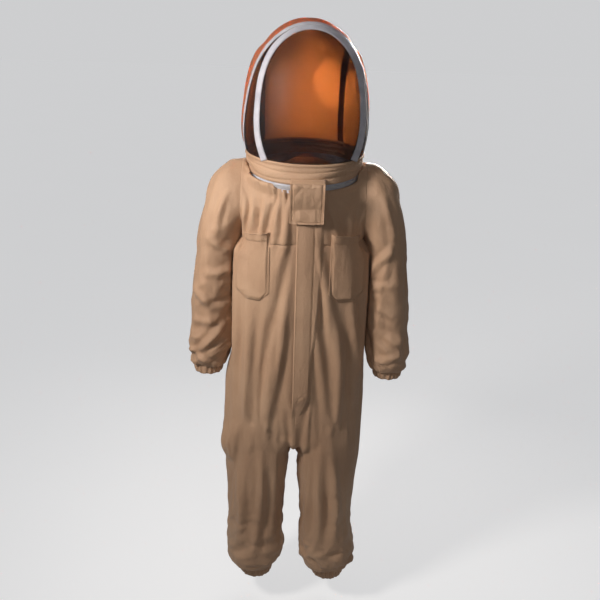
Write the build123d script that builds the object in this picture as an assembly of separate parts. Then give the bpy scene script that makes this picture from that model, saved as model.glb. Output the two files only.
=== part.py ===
"""Beekeeping suit: a one-piece cloth overall with a zip-on veil hood on two hoops.

Frame: millimetres, +Z up, the front faces -Y and the wearer's right is at -X.
The origin is the middle of the wearer's shoulder line, where the suit hangs.
Every cloth piece is a thin shell on the outline of a filled suit, and each panel,
tape, elastic and zip part is a solid of its own.
"""
from build123d import *
from math import atan2, cos, degrees, hypot, radians, sin
import os

# Cloth and trim
CLOTH = 1.5            # shell thickness of a cloth panel
TAPE = 1.0             # thickness of a zip tape
SEAM = 0.4             # gap between neighbouring panels
BODY_GAP = 1.5         # gap between pieces that move against each other
FAR = 900.0            # a length beyond every piece, for cutting boxes

# Collar ring: the circle of the hood zip, high at the back
RING_TILT = 8.0
RING_Y = 5.0
RING_Z = -30.0
RING_R = 142.0         # inner face of both zip tapes
NECK_R = 141.0         # outer radius of the overall's neck edge
NECK_DROP = 18.0       # from the ring down to the neck edge, along the ring's axis
TAPE_DEEP = 16.0       # width of the collar's zip tape
HOOD_TAPE_DEEP = 10.5  # width of the hood's zip tape

# Zip chain, a T in section, and the slider that runs on it
NECK_HALF = 0.7        # half width of the chain's neck
NECK_TALL = 1.6        # height of the neck above the tape
HEAD_HALF = 3.0        # half width of the chain's head
HEAD_TALL = 2.4        # height of the head
RUN_GAP = 0.5          # clearance round the chain inside the slider
SLIDER_WALL = 1.2
SLIDER_LONG = 14.0
PIN_R = 1.2            # the pin that a pull hangs on
PIN_HOLE_R = 1.27
PIN_TALL = 2.2
PULL_THICK = 1.0
PULL_HALF = 3.0
PULL_LONG = 15.0

# Front opening
FRONT_Y = -120.0       # the flat of the chest and belly at the centre line
ZIP_TOP = -92.0
ZIP_BOTTOM = -640.0
ZIP_TAPE_WIDE = 12.0
PLACKET_Y = -131.0     # outer face of the cover strip
PLACKET_LEFT = -14.0
PLACKET_RIGHT = 34.0
PLACKET_TOP = -98.0
PLACKET_BOTTOM = -658.0

# Overall: sections of the trunk as (y, z, half width, half depth)
TRUNK = [
    (0.0, -812.0, 196.0, 100.0),
    (1.0, -660.0, 200.0, 121.0),
    (0.0, -560.0, 198.0, 120.0),
    (0.0, -400.0, 186.0, 120.0),
    (0.0, -250.0, 182.0, 120.0),
    (0.0, -190.0, 163.0, 120.0),
    (3.5, -88.0, 157.0, 123.5),
]
YOKE_Z = -200.0        # seam between the yokes and the panels below
CENTRE_GAP = 0.5       # half gap between the two fronts under the zip

# Armhole and sleeve: pairs of points (x, z) on the inner and the outer edge, and half depth
ARM_X = 165.0
ARM_Z = -125.0
ARM_R = 64.0
SLEEVE = [
    ((166.5, -189.0), (166.5, -61.0), 64.0),
    ((168.5, -198.0), (225.0, -85.0), 68.0),
    ((175.0, -222.0), (262.0, -160.0), 70.0),
    ((188.0, -268.0), (285.0, -262.0), 70.0),
    ((191.0, -345.0), (297.0, -345.0), 66.0),
    ((198.0, -480.0), (311.0, -480.0), 61.0),
    ((207.0, -565.0), (313.0, -565.0), 55.0),
    ((222.0, -590.0), (298.0, -590.0), 38.0),
]
CUFF_X = 260.0
CUFF_TOP = -590.8
CUFF_BOTTOM = -613.0
CUFF_R = 38.0
CUFF_ELASTIC_WIDE = 8.0

# Legs: sections as (x, z, half width, half depth)
HIP_Z = -650.0
HIP_R = 150.0
LEG = [
    (105.0, -740.0, 92.0, 98.0),
    (106.0, -860.0, 91.0, 96.0),
    (110.0, -1065.0, 83.0, 90.0),
    (113.0, -1180.0, 81.0, 88.0),
    (115.0, -1262.0, 80.0, 84.0),
    (115.0, -1292.0, 48.0, 48.0),
]
HEM_X = 115.0
HEM_TOP = -1292.8
HEM_BOTTOM = -1317.0
HEM_R = 48.0
HEM_ELASTIC_WIDE = 10.0
CROTCH_HALF = 11.0     # half width of the strip that closes the seat between the legs

# Chest pockets
POCKET_IN = 76.0       # inner edge, from the centre line
POCKET_OUT = 164.0
POCKET_TOP = -197.0
POCKET_BOTTOM = -380.0
POCKET_BEVEL = 26.0
POCKET_DEEP = 7.0      # room between the pocket and the chest
POCKET_SKIN = 1.2

# Hood: sections as (y, z, half width, half depth, tilt)
DOME = [
    (5.0, 14.0, 152.0, 136.0, 7.0),
    (5.0, 50.0, 160.0, 149.0, 4.0),
    (5.0, 110.0, 161.0, 160.0, 0.0),
    (5.0, 177.0, 153.0, 160.0, 0.0),
    (3.0, 250.0, 133.0, 143.0, 0.0),
    (0.0, 312.0, 90.0, 98.0, 0.0),
    (-2.0, 340.0, 50.0, 54.0, 0.0),
    (-3.0, 349.0, 18.0, 20.0, 0.0),
]
HOOP_FOOT_Z = 14.0
HOOP_TOP_Z = 335.0
FRONT_HOOP_Y = (-92.0, -80.0)   # y of the front hoop's plane at its foot and its top
REAR_HOOP_Y = (15.0, -58.0)
HOOP_TAPE_WIDE = 17.0
HOOP_WIRE = 2.6
HOOD_TURN = 6.0        # the hood sits turned this far to the wearer's left on its ring
BACK_SEAM_X = 108.0
SEAM_TAPE_WIDE = 14.0
BAND_FOOT = 9.0        # hood band's lower edge, above the ring

# Throat flap: its side profile as (y, z), from the hinge down
FLAP_LEFT = -33.0
FLAP_RIGHT = 54.0
FLAP_LINE = [(-155.0, -38.0), (-150.5, -72.0), (-137.0, -104.0), (-137.0, -141.0)]
PATCH_TOP = -110.0
PATCH_BOTTOM = -135.0
PATCH_LEFT = -10.0
PATCH_RIGHT = 32.0

RING = Pos(0, RING_Y, RING_Z) * Rot(RING_TILT, 0, 0)
TURN = Pos(0, RING_Y, 0) * Rot(0, 0, HOOD_TURN) * Pos(0, -RING_Y, 0)


def oval(x, y, z, wide, deep, tilt=0.0):
    """Face of an ellipse of half sizes wide and deep, made of four arcs."""
    arcs = [EllipticalCenterArc((0, 0), wide, deep, start_angle=a, arc_size=90) for a in (0, 90, 180, 270)]
    return Pos(x, y, z) * Rot(tilt, 0, 0) * make_face(arcs)


def layer(solid_at, low, high):
    """Skin between two growths of one shape; solid_at(growth) makes the shape."""
    return solid_at(high) - solid_at(low)


def block(x0, x1, y0, y1, z0, z1):
    """Box between two corners."""
    middle = Pos((x0 + x1) / 2, (y0 + y1) / 2, (z0 + z1) / 2)
    return middle * Box(x1 - x0, y1 - y0, z1 - z0)


def slab(plane, low, high):
    """Everything between two offsets from a plane."""
    return plane.location * Pos(0, 0, (low + high) / 2) * Box(2 * FAR, 2 * FAR, high - low)


def mirror_x(shape):
    return mirror(shape, about=Plane.YZ)


def turned(outline, start=0.0, arc=360.0):
    """Revolve an outline of (radius, height) points about the collar ring's axis."""
    face = Plane.XZ * make_face(Polyline(*outline, close=True))
    return RING * Rot(0, 0, start) * revolve(face, Axis.Z, arc)


def band_outline(r0, r1, h0, h1):
    return [(r0, h0), (r1, h0), (r1, h1), (r0, h1)]


# ---------------------------------------------------------------- trunk
def trunk(grow):
    """Filled trunk from the seat to the neck edge, with both armhole stubs."""
    faces = [oval(0, y, z, wide + grow, deep + grow) for y, z, wide, deep in TRUNK]
    faces.append(RING * Pos(0, 0, -NECK_DROP) * oval(0, 0, 0, NECK_R + grow, NECK_R + grow))
    stub = Pos(0, 0, ARM_Z) * Rot(0, 90, 0) * Cylinder(ARM_R + grow, 2 * ARM_X)
    return loft(faces, ruled=True) + stub


def hip_roll(radius):
    """Cylinder about the hip line; the seat ends on it and the legs start on it."""
    return Pos(0, 0, HIP_Z) * Rot(0, 90, 0) * Cylinder(radius, FAR)


def trunk_shell():
    """Cloth of the trunk with open neck, armholes and leg holes."""
    shell = layer(trunk, -CLOTH, 0)
    above = block(-FAR, FAR, -FAR, FAR, HIP_Z, FAR)
    return shell & (above + hip_roll(HIP_R))


def crotch_strip():
    """Strip that closes the seat between the two legs, front to back."""
    roll = hip_roll(HIP_R) - hip_roll(HIP_R - CLOTH)
    depth = TRUNK[0][3]
    strip = block(-CROTCH_HALF, CROTCH_HALF, -depth, depth, -FAR, HIP_Z)
    return roll & strip & trunk(-CLOTH - SEAM)


def trunk_panels():
    shell = trunk_shell()
    front_right = block(-FAR, -CENTRE_GAP, -FAR, -SEAM, -FAR, YOKE_Z - SEAM)
    back_right = block(-FAR, -CENTRE_GAP, SEAM, FAR, -FAR, YOKE_Z - SEAM)
    yoke_right = block(-FAR, -CENTRE_GAP, -FAR, -SEAM, YOKE_Z + SEAM, FAR)
    yoke_back = block(-FAR, FAR, SEAM, FAR, YOKE_Z + SEAM, FAR)
    return {
        "right_front_panel": shell & front_right,
        "left_front_panel": shell & mirror_x(front_right),
        "right_back_panel": shell & back_right,
        "left_back_panel": shell & mirror_x(back_right),
        "right_front_yoke": shell & yoke_right,
        "left_front_yoke": shell & mirror_x(yoke_right),
        "back_yoke": shell & yoke_back,
        "crotch_gusset": crotch_strip(),
    }


# ---------------------------------------------------------------- sleeves
def sleeve(grow):
    """Filled left sleeve, lofted between its inner and outer edges."""
    faces = []
    for (x0, z0), (x1, z1), deep in SLEEVE:
        half = hypot(x1 - x0, z1 - z0) / 2
        lean = degrees(atan2(z1 - z0, x1 - x0))
        place = Pos((x0 + x1) / 2, 0, (z0 + z1) / 2) * Rot(0, -lean, 0)
        faces.append(place * oval(0, 0, 0, half + grow, deep + grow))
    return loft(faces, ruled=True)


def tube(x, radius, thick, top, bottom):
    """Upright ring of cloth or elastic."""
    middle = Pos(x, 0, (top + bottom) / 2)
    return middle * (Cylinder(radius, top - bottom) - Cylinder(radius - thick, top - bottom))


def casing_with_elastic(x, radius, top, bottom, wide):
    """Hem casing: two skins closed at the foot, with a round elastic inside."""
    outer = tube(x, radius, CLOTH, top, bottom)
    inner = tube(x, radius - 2 * CLOTH - 2 * SEAM, CLOTH, top, bottom)
    foot = tube(x, radius - 0.5, 3 * CLOTH + 2 * SEAM - 0.5, bottom + CLOTH, bottom)
    lift = (top + bottom + CLOTH) / 2
    elastic = tube(x, radius - CLOTH - SEAM, CLOTH, lift + wide / 2, lift - wide / 2)
    return outer + inner + foot, elastic


def sleeve_pieces():
    cloth = layer(sleeve, -CLOTH, 0)
    casing, elastic = casing_with_elastic(CUFF_X, CUFF_R, CUFF_TOP, CUFF_BOTTOM, CUFF_ELASTIC_WIDE)
    left = {"sleeve": cloth, "cuff_casing": casing, "cuff_elastic": elastic}
    pieces = {"left_" + name: shape for name, shape in left.items()}
    pieces.update({"right_" + name: mirror_x(shape) for name, shape in left.items()})
    return pieces


# ---------------------------------------------------------------- legs
def leg(grow):
    return loft([oval(x, 0, z, wide + grow, deep + grow) for x, z, wide, deep in LEG], ruled=True)


def leg_pieces():
    cloth = layer(leg, -CLOTH, 0) - hip_roll(HIP_R + BODY_GAP)
    casing, elastic = casing_with_elastic(HEM_X, HEM_R, HEM_TOP, HEM_BOTTOM, HEM_ELASTIC_WIDE)
    left = {
        "leg_front": cloth & block(0, FAR, -FAR, -SEAM, -2 * FAR, FAR),
        "leg_back": cloth & block(0, FAR, SEAM, FAR, -2 * FAR, FAR),
        "ankle_casing": casing,
        "ankle_elastic": elastic,
    }
    pieces = {"left_" + name: shape for name, shape in left.items()}
    pieces.update({"right_" + name: mirror_x(shape) for name, shape in left.items()})
    return pieces


# ---------------------------------------------------------------- pockets
def pocket_outline():
    """Front view of the left pocket, with bevelled lower corners."""
    points = [
        (POCKET_IN, POCKET_TOP),
        (POCKET_OUT, POCKET_TOP),
        (POCKET_OUT, POCKET_BOTTOM + POCKET_BEVEL),
        (POCKET_OUT - POCKET_BEVEL, POCKET_BOTTOM),
        (POCKET_IN + POCKET_BEVEL, POCKET_BOTTOM),
        (POCKET_IN, POCKET_BOTTOM + POCKET_BEVEL),
    ]
    return make_face(Polyline(*points, close=True))


def pocket():
    """Patch pocket: a curved front joined to the chest by its sides and foot."""
    outline = Plane.XZ * pocket_outline()
    whole = extrude(outline, FAR)
    room = extrude(Plane.XZ * offset(pocket_outline(), -POCKET_SKIN), FAR)
    room += extrude(Plane.XZ * Pos(0, POCKET_SKIN * 2, 0) * offset(pocket_outline(), -POCKET_SKIN), FAR)
    out = POCKET_DEEP + POCKET_SKIN
    body = (trunk(out) - trunk(SEAM)) & whole
    hollow = (trunk(POCKET_DEEP) - trunk(0)) & room
    return body - hollow


# ---------------------------------------------------------------- zips
def slider_outline(base, middle):
    """Section of a slider as (height off the tape, place across): a C round the chain's head."""
    lip_low = base + RUN_GAP
    lip_high = base + NECK_TALL - RUN_GAP + 0.1
    roof = base + NECK_TALL + HEAD_TALL + RUN_GAP
    top = roof + SLIDER_WALL
    slot = NECK_HALF + RUN_GAP + 0.2
    room = HEAD_HALF + RUN_GAP
    side = room + SLIDER_WALL
    half = [(lip_low, slot), (lip_high, slot), (lip_high, room), (roof, room)]
    shell = [(top, side), (lip_low, side)]
    points = half + [(u, -v) for u, v in reversed(half)]
    points += [(u, -v) for u, v in reversed(shell)] + shell
    return [(u, middle + v) for u, v in points]


SLIDER_TOP = NECK_TALL + HEAD_TALL + RUN_GAP + SLIDER_WALL   # height above the tape's face


def pull(face_up):
    """Pull tab hanging on a pin: made flat at the origin, its face towards -Y."""
    plate = block(-PULL_HALF, PULL_HALF, -PULL_THICK, 0, -PULL_LONG, PULL_HALF)
    hole = Rot(90, 0, 0) * Cylinder(PIN_HOLE_R, 4 * PULL_THICK)
    return Pos(0, -face_up, 0) * (plate - hole)


def pin():
    return Pos(0, -PIN_TALL / 2, 0) * Rot(90, 0, 0) * Cylinder(PIN_R, PIN_TALL)


def front_zip():
    base = FRONT_Y - 0.2
    tape = block(-ZIP_TAPE_WIDE, -0.2, base - TAPE, base, ZIP_BOTTOM, ZIP_TOP)
    face = base - TAPE
    neck = block(-NECK_HALF, NECK_HALF, face - NECK_TALL, face, ZIP_BOTTOM, ZIP_TOP)
    head_foot = face - NECK_TALL
    head = block(-HEAD_HALF, HEAD_HALF, head_foot - HEAD_TALL, head_foot, ZIP_BOTTOM, ZIP_TOP)
    outline = [(across, -up) for up, across in slider_outline(-face, 0)]
    slider = extrude(make_face(Polyline(*outline, close=True)), -SLIDER_LONG)
    pin_y = face - SLIDER_TOP
    pin_z = ZIP_TOP - SLIDER_LONG / 2
    slider = Pos(0, 0, ZIP_TOP) * slider + Pos(0, pin_y, pin_z) * pin()
    stop = block(-5.0, 5.0, face - NECK_TALL - HEAD_TALL, base, ZIP_BOTTOM - 5.0, ZIP_BOTTOM - SEAM)
    return {
        "right_zip_tape": tape,
        "left_zip_tape": mirror_x(tape),
        "front_zip_chain": neck + head,
        "front_zip_stop": stop,
        "front_zip_slider": slider,
        "front_zip_pull": Pos(0, pin_y, pin_z) * pull(SEAM),
    }


SLIDER_SPREAD = 7.0    # angle from the front centre to each hood slider


def hood_slider(turn):
    """Slider and pull of the hood zip, turned about the ring from the front centre."""
    face = RING_R + TAPE
    arc = degrees(SLIDER_LONG / face)
    body = turned(slider_outline(face, -1.1), -90 + turn - arc / 2, arc)
    place = RING * Rot(0, 0, turn) * Pos(0, -face - SLIDER_TOP, -1.1)
    return body + place * Pos(0, 0.3, 0) * pin(), place * pull(SEAM)


def hood_zip():
    face = RING_R + TAPE
    neck = band_outline(face, face + NECK_TALL, -1.8, -0.4)
    head_foot = face + NECK_TALL
    head = band_outline(head_foot, head_foot + HEAD_TALL, -1.1 - HEAD_HALF, -1.1 + HEAD_HALF)
    right_slider, right_pull = hood_slider(-SLIDER_SPREAD)
    left_slider, left_pull = hood_slider(SLIDER_SPREAD)
    return {
        "collar_zip_tape": turned(band_outline(RING_R, face, -TAPE_DEEP - 0.3, -0.3)),
        "collar_zip_chain": turned(neck) + turned(head),
        "hood_zip_tape": turned(band_outline(RING_R, face, 0.4, HOOD_TAPE_DEEP)),
        "right_hood_zip_slider": right_slider,
        "right_hood_zip_pull": right_pull,
        "left_hood_zip_slider": left_slider,
        "left_hood_zip_pull": left_pull,
    }


# ---------------------------------------------------------------- hood
def dome(grow):
    faces = [oval(0, y, z, wide + grow, deep + grow, tilt) for y, z, wide, deep, tilt in DOME[:-1]]
    y, z, wide, deep, tilt = DOME[-1]
    faces.append(oval(0, y, z + grow, wide + grow, deep + grow, tilt))
    return loft(faces)


def hoop_plane(foot_y, top_y):
    """Plane of a hoop, leaning in y between its foot and its top; it faces forwards."""
    rise = HOOP_TOP_Z - HOOP_FOOT_Z
    return Plane(origin=(0, foot_y, HOOP_FOOT_Z), x_dir=(1, 0, 0), z_dir=(0, -rise, top_y - foot_y))


def hood_band():
    """Cloth band between the hood zip and the veil, with the ledge that the throat flap hangs on."""
    def solid(grow):
        foot = RING * Pos(0, 0, BAND_FOOT) * oval(0, 0, 0, RING_R + 3.2 + grow, RING_R + 3.2 + grow)
        y, z, wide, deep, tilt = DOME[0]
        head = TURN * oval(0, y, z - SEAM, wide + grow, deep + grow, tilt)
        return loft([foot, head], ruled=True)
    hinge_y, hinge_z = FLAP_LINE[0]
    ledge = block(FLAP_LEFT, FLAP_RIGHT, hinge_y + 0.5, hinge_y + 20, hinge_z + 0.5, hinge_z + 2)
    return layer(solid, -CLOTH, 0) + (ledge - solid(-CLOTH / 2))


def hood_pieces():
    front = hoop_plane(*FRONT_HOOP_Y)
    rear = hoop_plane(*REAR_HOOP_Y)
    cloth = layer(dome, -CLOTH, 0)
    tape = layer(dome, 0.1, 1.3)
    wire = layer(dome, -CLOTH - 0.2 - HOOP_WIRE, -CLOTH - 0.2)
    lining = layer(dome, -CLOTH - 1.2, -CLOTH - 0.1)
    behind = slab(rear, -FAR, -SEAM / 2)
    side = cloth & slab(front, -FAR, -SEAM / 2) & slab(rear, SEAM / 2, FAR)
    back = cloth & behind
    half = HOOP_TAPE_WIDE / 2
    seam_x0 = BACK_SEAM_X - SEAM_TAPE_WIDE / 2
    seam_x1 = BACK_SEAM_X + SEAM_TAPE_WIDE / 2
    seam = lining & slab(rear, -FAR, -4) & block(seam_x0, seam_x1, 0, FAR, -FAR, FAR)
    straight = {
        "front_veil": cloth & slab(front, SEAM / 2, FAR),
        "right_side_veil": side & block(-FAR, -SEAM / 2, -FAR, FAR, -FAR, FAR),
        "left_side_veil": side & block(SEAM / 2, FAR, -FAR, FAR, -FAR, FAR),
        "hood_back": back & block(-BACK_SEAM_X, BACK_SEAM_X, -FAR, FAR, -FAR, FAR),
        "hood_back_right": back & block(-FAR, -BACK_SEAM_X - SEAM, -FAR, FAR, -FAR, FAR),
        "hood_back_left": back & block(BACK_SEAM_X + SEAM, FAR, -FAR, FAR, -FAR, FAR),
        "left_back_seam_tape": seam,
        "right_back_seam_tape": mirror_x(seam),
        "front_hoop": wire & slab(front, -HOOP_WIRE / 2, HOOP_WIRE / 2),
        "rear_hoop": wire & slab(rear, -HOOP_WIRE / 2, HOOP_WIRE / 2),
        "front_hoop_tape": tape & slab(front, -half, half),
        "rear_hoop_tape": tape & slab(rear, -half, half),
    }
    pieces = {name: TURN * shape for name, shape in straight.items()}
    pieces["hood_band"] = hood_band()
    return pieces


# ---------------------------------------------------------------- placket and throat flap
def placket():
    """Cover strip over the front zip, sewn along its left edge."""
    strip = block(PLACKET_LEFT, PLACKET_RIGHT, PLACKET_Y, PLACKET_Y + 1.2, PLACKET_BOTTOM, PLACKET_TOP)
    flange = block(PLACKET_RIGHT - 1.5, PLACKET_RIGHT, PLACKET_Y, FRONT_Y - 0.1, PLACKET_BOTTOM, PLACKET_TOP)
    return strip + flange


def throat_flap():
    """Flap over the ends of both zips, bent down to the chest."""
    inner = [(y + CLOTH, z) for y, z in reversed(FLAP_LINE)]
    face = Plane.YZ * make_face(Polyline(*FLAP_LINE, *inner, close=True))
    return Pos(FLAP_LEFT, 0, 0) * extrude(face, FLAP_RIGHT - FLAP_LEFT)


def fastening():
    flap_back = FLAP_LINE[-1][0] + CLOTH
    patch = (PATCH_LEFT, PATCH_RIGHT)
    return {
        "front_placket": placket(),
        "throat_flap": throat_flap(),
        "loop_patch": block(*patch, flap_back + 0.1, flap_back + 1.6, PATCH_BOTTOM, PATCH_TOP),
        "hook_patch": block(*patch, flap_back + 2.1, PLACKET_Y - 0.1, PATCH_BOTTOM, PATCH_TOP),
    }


def main():
    left_pocket = pocket()
    pieces = {"left_chest_pocket": left_pocket, "right_chest_pocket": mirror_x(left_pocket)}
    for group in (trunk_panels, sleeve_pieces, leg_pieces, front_zip, hood_zip, hood_pieces, fastening):
        pieces.update(group())
    os.makedirs("parts", exist_ok=True)
    for name, shape in pieces.items():
        shape.label = name
        export_step(shape, f"parts/{name}.step")
    print(len(pieces), "pieces written")


main()
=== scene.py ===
import contextlib
import math

import bmesh
import bpy
import numpy as np
from mathutils import Matrix, Vector
from mathutils.bvhtree import BVHTree


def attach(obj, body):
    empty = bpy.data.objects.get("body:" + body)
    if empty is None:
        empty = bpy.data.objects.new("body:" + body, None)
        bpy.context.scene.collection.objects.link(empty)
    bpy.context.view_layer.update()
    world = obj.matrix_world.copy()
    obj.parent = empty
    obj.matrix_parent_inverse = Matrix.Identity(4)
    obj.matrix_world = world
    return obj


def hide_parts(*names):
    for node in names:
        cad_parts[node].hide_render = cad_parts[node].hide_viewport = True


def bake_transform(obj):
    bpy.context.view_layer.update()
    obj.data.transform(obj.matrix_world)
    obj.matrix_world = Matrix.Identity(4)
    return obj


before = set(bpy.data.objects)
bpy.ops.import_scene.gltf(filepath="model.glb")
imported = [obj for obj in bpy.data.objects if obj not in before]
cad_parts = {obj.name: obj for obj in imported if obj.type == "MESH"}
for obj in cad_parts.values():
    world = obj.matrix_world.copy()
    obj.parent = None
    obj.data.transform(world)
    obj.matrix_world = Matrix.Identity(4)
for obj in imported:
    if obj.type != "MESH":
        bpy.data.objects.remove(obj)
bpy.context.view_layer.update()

# ---------------------------------------------------------------- sizes, in metres
SOLE_Z = -1.41                 # the floor under the wearer's soles
VOXEL = 0.0085                  # mesh size of the simulated cloth
CLOTH_THICK = 0.0011
YOKE_Z = -0.2                 # seam between the yokes and the panels below
CENTRE_X = -0.003               # the centre seam of the fronts
ARM_X = 0.163                   # armhole seams
ARM_CENTRE = (0.001, -0.103)    # y and z of an armhole's centre
CONTACT_X = 0.1885              # the sleeve and the trunk's side lie against each other here
FRAMES = 14                     # cloth simulation

# collar ring, as in the frame: a circle, high at the back
RING_TILT = math.radians(8.0)
RING = Matrix.Translation((0, 0.005, -0.03)) @ Matrix.Rotation(RING_TILT, 4, "X")
NECK_R = 0.1442                 # the cloth covers the lower half of the zip's tape
NECK_EDGE = -0.0085
NECK_DROP = 0.018

# trunk and legs, in mm: (z, centre x, half width, centre y, half depth)
TRUNK = [
    (15, -1, 139, 6, 136),
    (-40, -1, 143, 6, 139),
    (-62, -1, 149, 4, 138),
    (-90, -2, 155, 3, 131),
    (-140, -3, 156, 1, 125),
    (-196, -3, 160, 0, 122),
    (-235, -5, 184, 0, 122),
    (-290, -7, 196, 0, 122),
    (-400, -8, 198, 0, 122),
    (-550, -8, 200, 0, 121),
    (-660, -9, 201, 2, 120),
    (-750, -10, 203, 4, 113),
    (-812, -10, 199, 3, 100),
]
RIGHT_LEG = [
    (-740, -110, 94, 3, 104),
    (-830, -113, 97, 1, 100),
    (-900, -113, 92, 0, 98),
    (-1000, -117, 86, 0, 94),
    (-1070, -119, 83, 0, 92),
    (-1180, -117, 82, 0, 90),
    (-1235, -117, 80, 0, 85),
    (-1264, -116, 69, 0, 71),
    (-1294, -115, 46, 0, 46),
]
LEFT_LEG = [
    (-740, 98, 93, 3, 104),
    (-830, 97, 93, 1, 100),
    (-900, 97, 89, 0, 98),
    (-1000, 99, 81, 0, 94),
    (-1070, 101, 77, 0, 90),
    (-1180, 109, 79, 0, 90),
    (-1235, 114, 82, 0, 86),
    (-1264, 116, 71, 0, 72),
    (-1294, 115, 46, 0, 46),
]
# left sleeve: its inner and outer edge as (x, z), and its half depth
SLEEVE = [
    (0.163, -0.194, 0.163, -0.012, 0.07),
    (0.167, -0.206, 0.2, -0.014, 0.075),
    (0.174, -0.228, 0.24, -0.052, 0.079),
    (0.183, -0.255, 0.265, -0.14, 0.078),
    (0.19, -0.295, 0.285, -0.245, 0.074),
    (0.1915, -0.35, 0.298, -0.345, 0.069),
    (0.1935, -0.435, 0.305, -0.43, 0.066),
    (0.198, -0.505, 0.313, -0.497, 0.063),
    (0.2035, -0.543, 0.313, -0.534, 0.058),
    (0.212, -0.565, 0.307, -0.56, 0.049),
    (0.221, -0.578, 0.299, -0.576, 0.04),
    (0.2238, -0.586, 0.2962, -0.586, 0.0362),
]
CUFF_X, HEM_X = 0.26, 0.115     # the middles of the cuffs and the ankle hems

# hood: its turn on its ring, its rim, and its hoops' planes
HOOD_TURN = math.radians(6.0)
TO_AXIS = Matrix.Translation((0, -0.005, 0))
TURN = TO_AXIS.inverted() @ Matrix.Rotation(HOOD_TURN, 4, "Z") @ TO_AXIS
RIM_TILT = math.radians(7.0)
RIM_CENTRE = Vector((0, 0.005, 0.014))
RIM_UP = Vector((0, -math.sin(RIM_TILT), math.cos(RIM_TILT)))
HOOP_FOOT_Z, HOOP_TOP_Z = 0.014, 0.335
FRONT_HOOP = (-0.092, -0.08)   # y of the front hoop's plane at its foot and its top
REAR_HOOP = (0.015, -0.066)
# the nets and the back's cloths, and the CAD's panels that they stand for
NETS = [(name + "_net", name + "_veil") for name in ("front", "left_side", "right_side")]
BACKS = [("hood_back_cloth", "hood_back")]
BACKS += [(f"hood_{side}_cloth", f"hood_back_{side}") for side in ("left", "right")]
BACK_SEAM_X = 0.108
FLAP_X = (-0.033, 0.054)
FLAP_TOP = (-0.1548, -0.038)    # y and z of the throat flap's hinge
LEDGE_Z = -0.0285


# ---------------------------------------------------------------- mesh helpers
def new_object(name, points, faces):
    mesh = bpy.data.meshes.new(name)
    mesh.from_pydata([tuple(p) for p in points], [], faces)
    mesh.update()
    obj = bpy.data.objects.new(name, mesh)
    bpy.context.collection.objects.link(obj)
    return obj


def from_bmesh(name, bm):
    obj = new_object(name, [], [])
    bm.to_mesh(obj.data)
    bm.free()
    return obj


@contextlib.contextmanager
def edited(obj):
    """The object's mesh as a bmesh, written back at the end."""
    bm = bmesh.new()
    bm.from_mesh(obj.data)
    yield bm
    bm.to_mesh(obj.data)
    bm.free()


def outwards(obj):
    with edited(obj) as bm:
        bmesh.ops.recalc_face_normals(bm, faces=bm.faces)


def slice_faces(bm, faces, place, normal, dist=0.0003, clear=False):
    """Cut the faces along a plane, and clear what is beyond it if asked to."""
    corners = dict.fromkeys(v for f in faces for v in f.verts)      # in the faces' order on every run
    edges = dict.fromkeys(e for f in faces for e in f.edges)
    geometry = [*corners, *edges, *faces]
    bmesh.ops.bisect_plane(bm, geom=geometry, dist=dist, plane_co=place, plane_no=normal, clear_outer=clear)


def split(bm, key):
    """The mesh's faces sorted into new objects: a dict from each key to its object."""
    pieces = {}
    for wanted in sorted({key(f) for f in bm.faces}):
        part = bm.copy()
        bmesh.ops.delete(part, geom=[f for f in part.faces if key(f) != wanted], context="FACES")
        pieces[wanted] = from_bmesh("piece", part)
    bm.free()
    return pieces


def get_points(obj, attribute="position"):
    flat = np.zeros(len(obj.data.vertices) * 3)
    obj.data.attributes[attribute].data.foreach_get("vector", flat)
    return flat.reshape(-1, 3)


def set_points(obj, points, attribute="position"):
    if attribute not in obj.data.attributes:
        obj.data.attributes.new(attribute, "FLOAT_VECTOR", "POINT")
    obj.data.attributes[attribute].data.foreach_set("vector", np.asarray(points, float).ravel())
    obj.data.update()


def get_normals(obj):
    flat = np.zeros(len(obj.data.vertices) * 3)
    obj.data.vertices.foreach_get("normal", flat)
    return flat.reshape(-1, 3)


def only(obj):
    """Make obj the single selected and active object."""
    bpy.ops.object.select_all(action="DESELECT")
    obj.select_set(True)
    bpy.context.view_layer.objects.active = obj


def apply_modifiers(obj):
    only(obj)
    for modifier in list(obj.modifiers):
        bpy.ops.object.modifier_apply(modifier=modifier.name)


def join(name, parts):
    only(parts[0])
    for part in parts:
        part.select_set(True)
    bpy.ops.object.join()
    parts[0].name = name
    return parts[0]


def subdivide(obj, levels=1):
    modifier = obj.modifiers.new("finer", "SUBSURF")
    modifier.levels = modifier.render_levels = levels
    apply_modifiers(obj)


def smooth_faces(obj):
    obj.data.polygons.foreach_set("use_smooth", [True] * len(obj.data.polygons))


def thicken(obj, thickness=CLOTH_THICK, offset=-1.0):
    modifier = obj.modifiers.new("thick", "SOLIDIFY")
    modifier.thickness = thickness
    modifier.offset = offset
    modifier.use_quality_normals = True
    apply_modifiers(obj)


def ease(low, high, x):
    """0 at low, 1 at high and smooth between them."""
    t = np.clip((x - low) / (high - low), 0, 1)
    return t * t * (3 - 2 * t)


def bell(x, width):
    return np.exp(-((x / width) ** 2))


def as_points(x, y, z):
    return np.stack([np.ravel(x), np.ravel(y), np.ravel(z)], axis=1)


def oval_ring(z, cx, wide, cy, deep, count, power):
    """Points of a rounded oval, starting at +X and turning towards +Y."""
    a = np.arange(count) * 2 * math.pi / count
    c, s = np.cos(a), np.sin(a)
    x = cx + wide * np.sign(c) * np.abs(c) ** (2 / power)
    y = cy + deep * np.sign(s) * np.abs(s) ** (2 / power)
    return np.stack([x, y, np.full(count, z)], axis=1)


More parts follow.
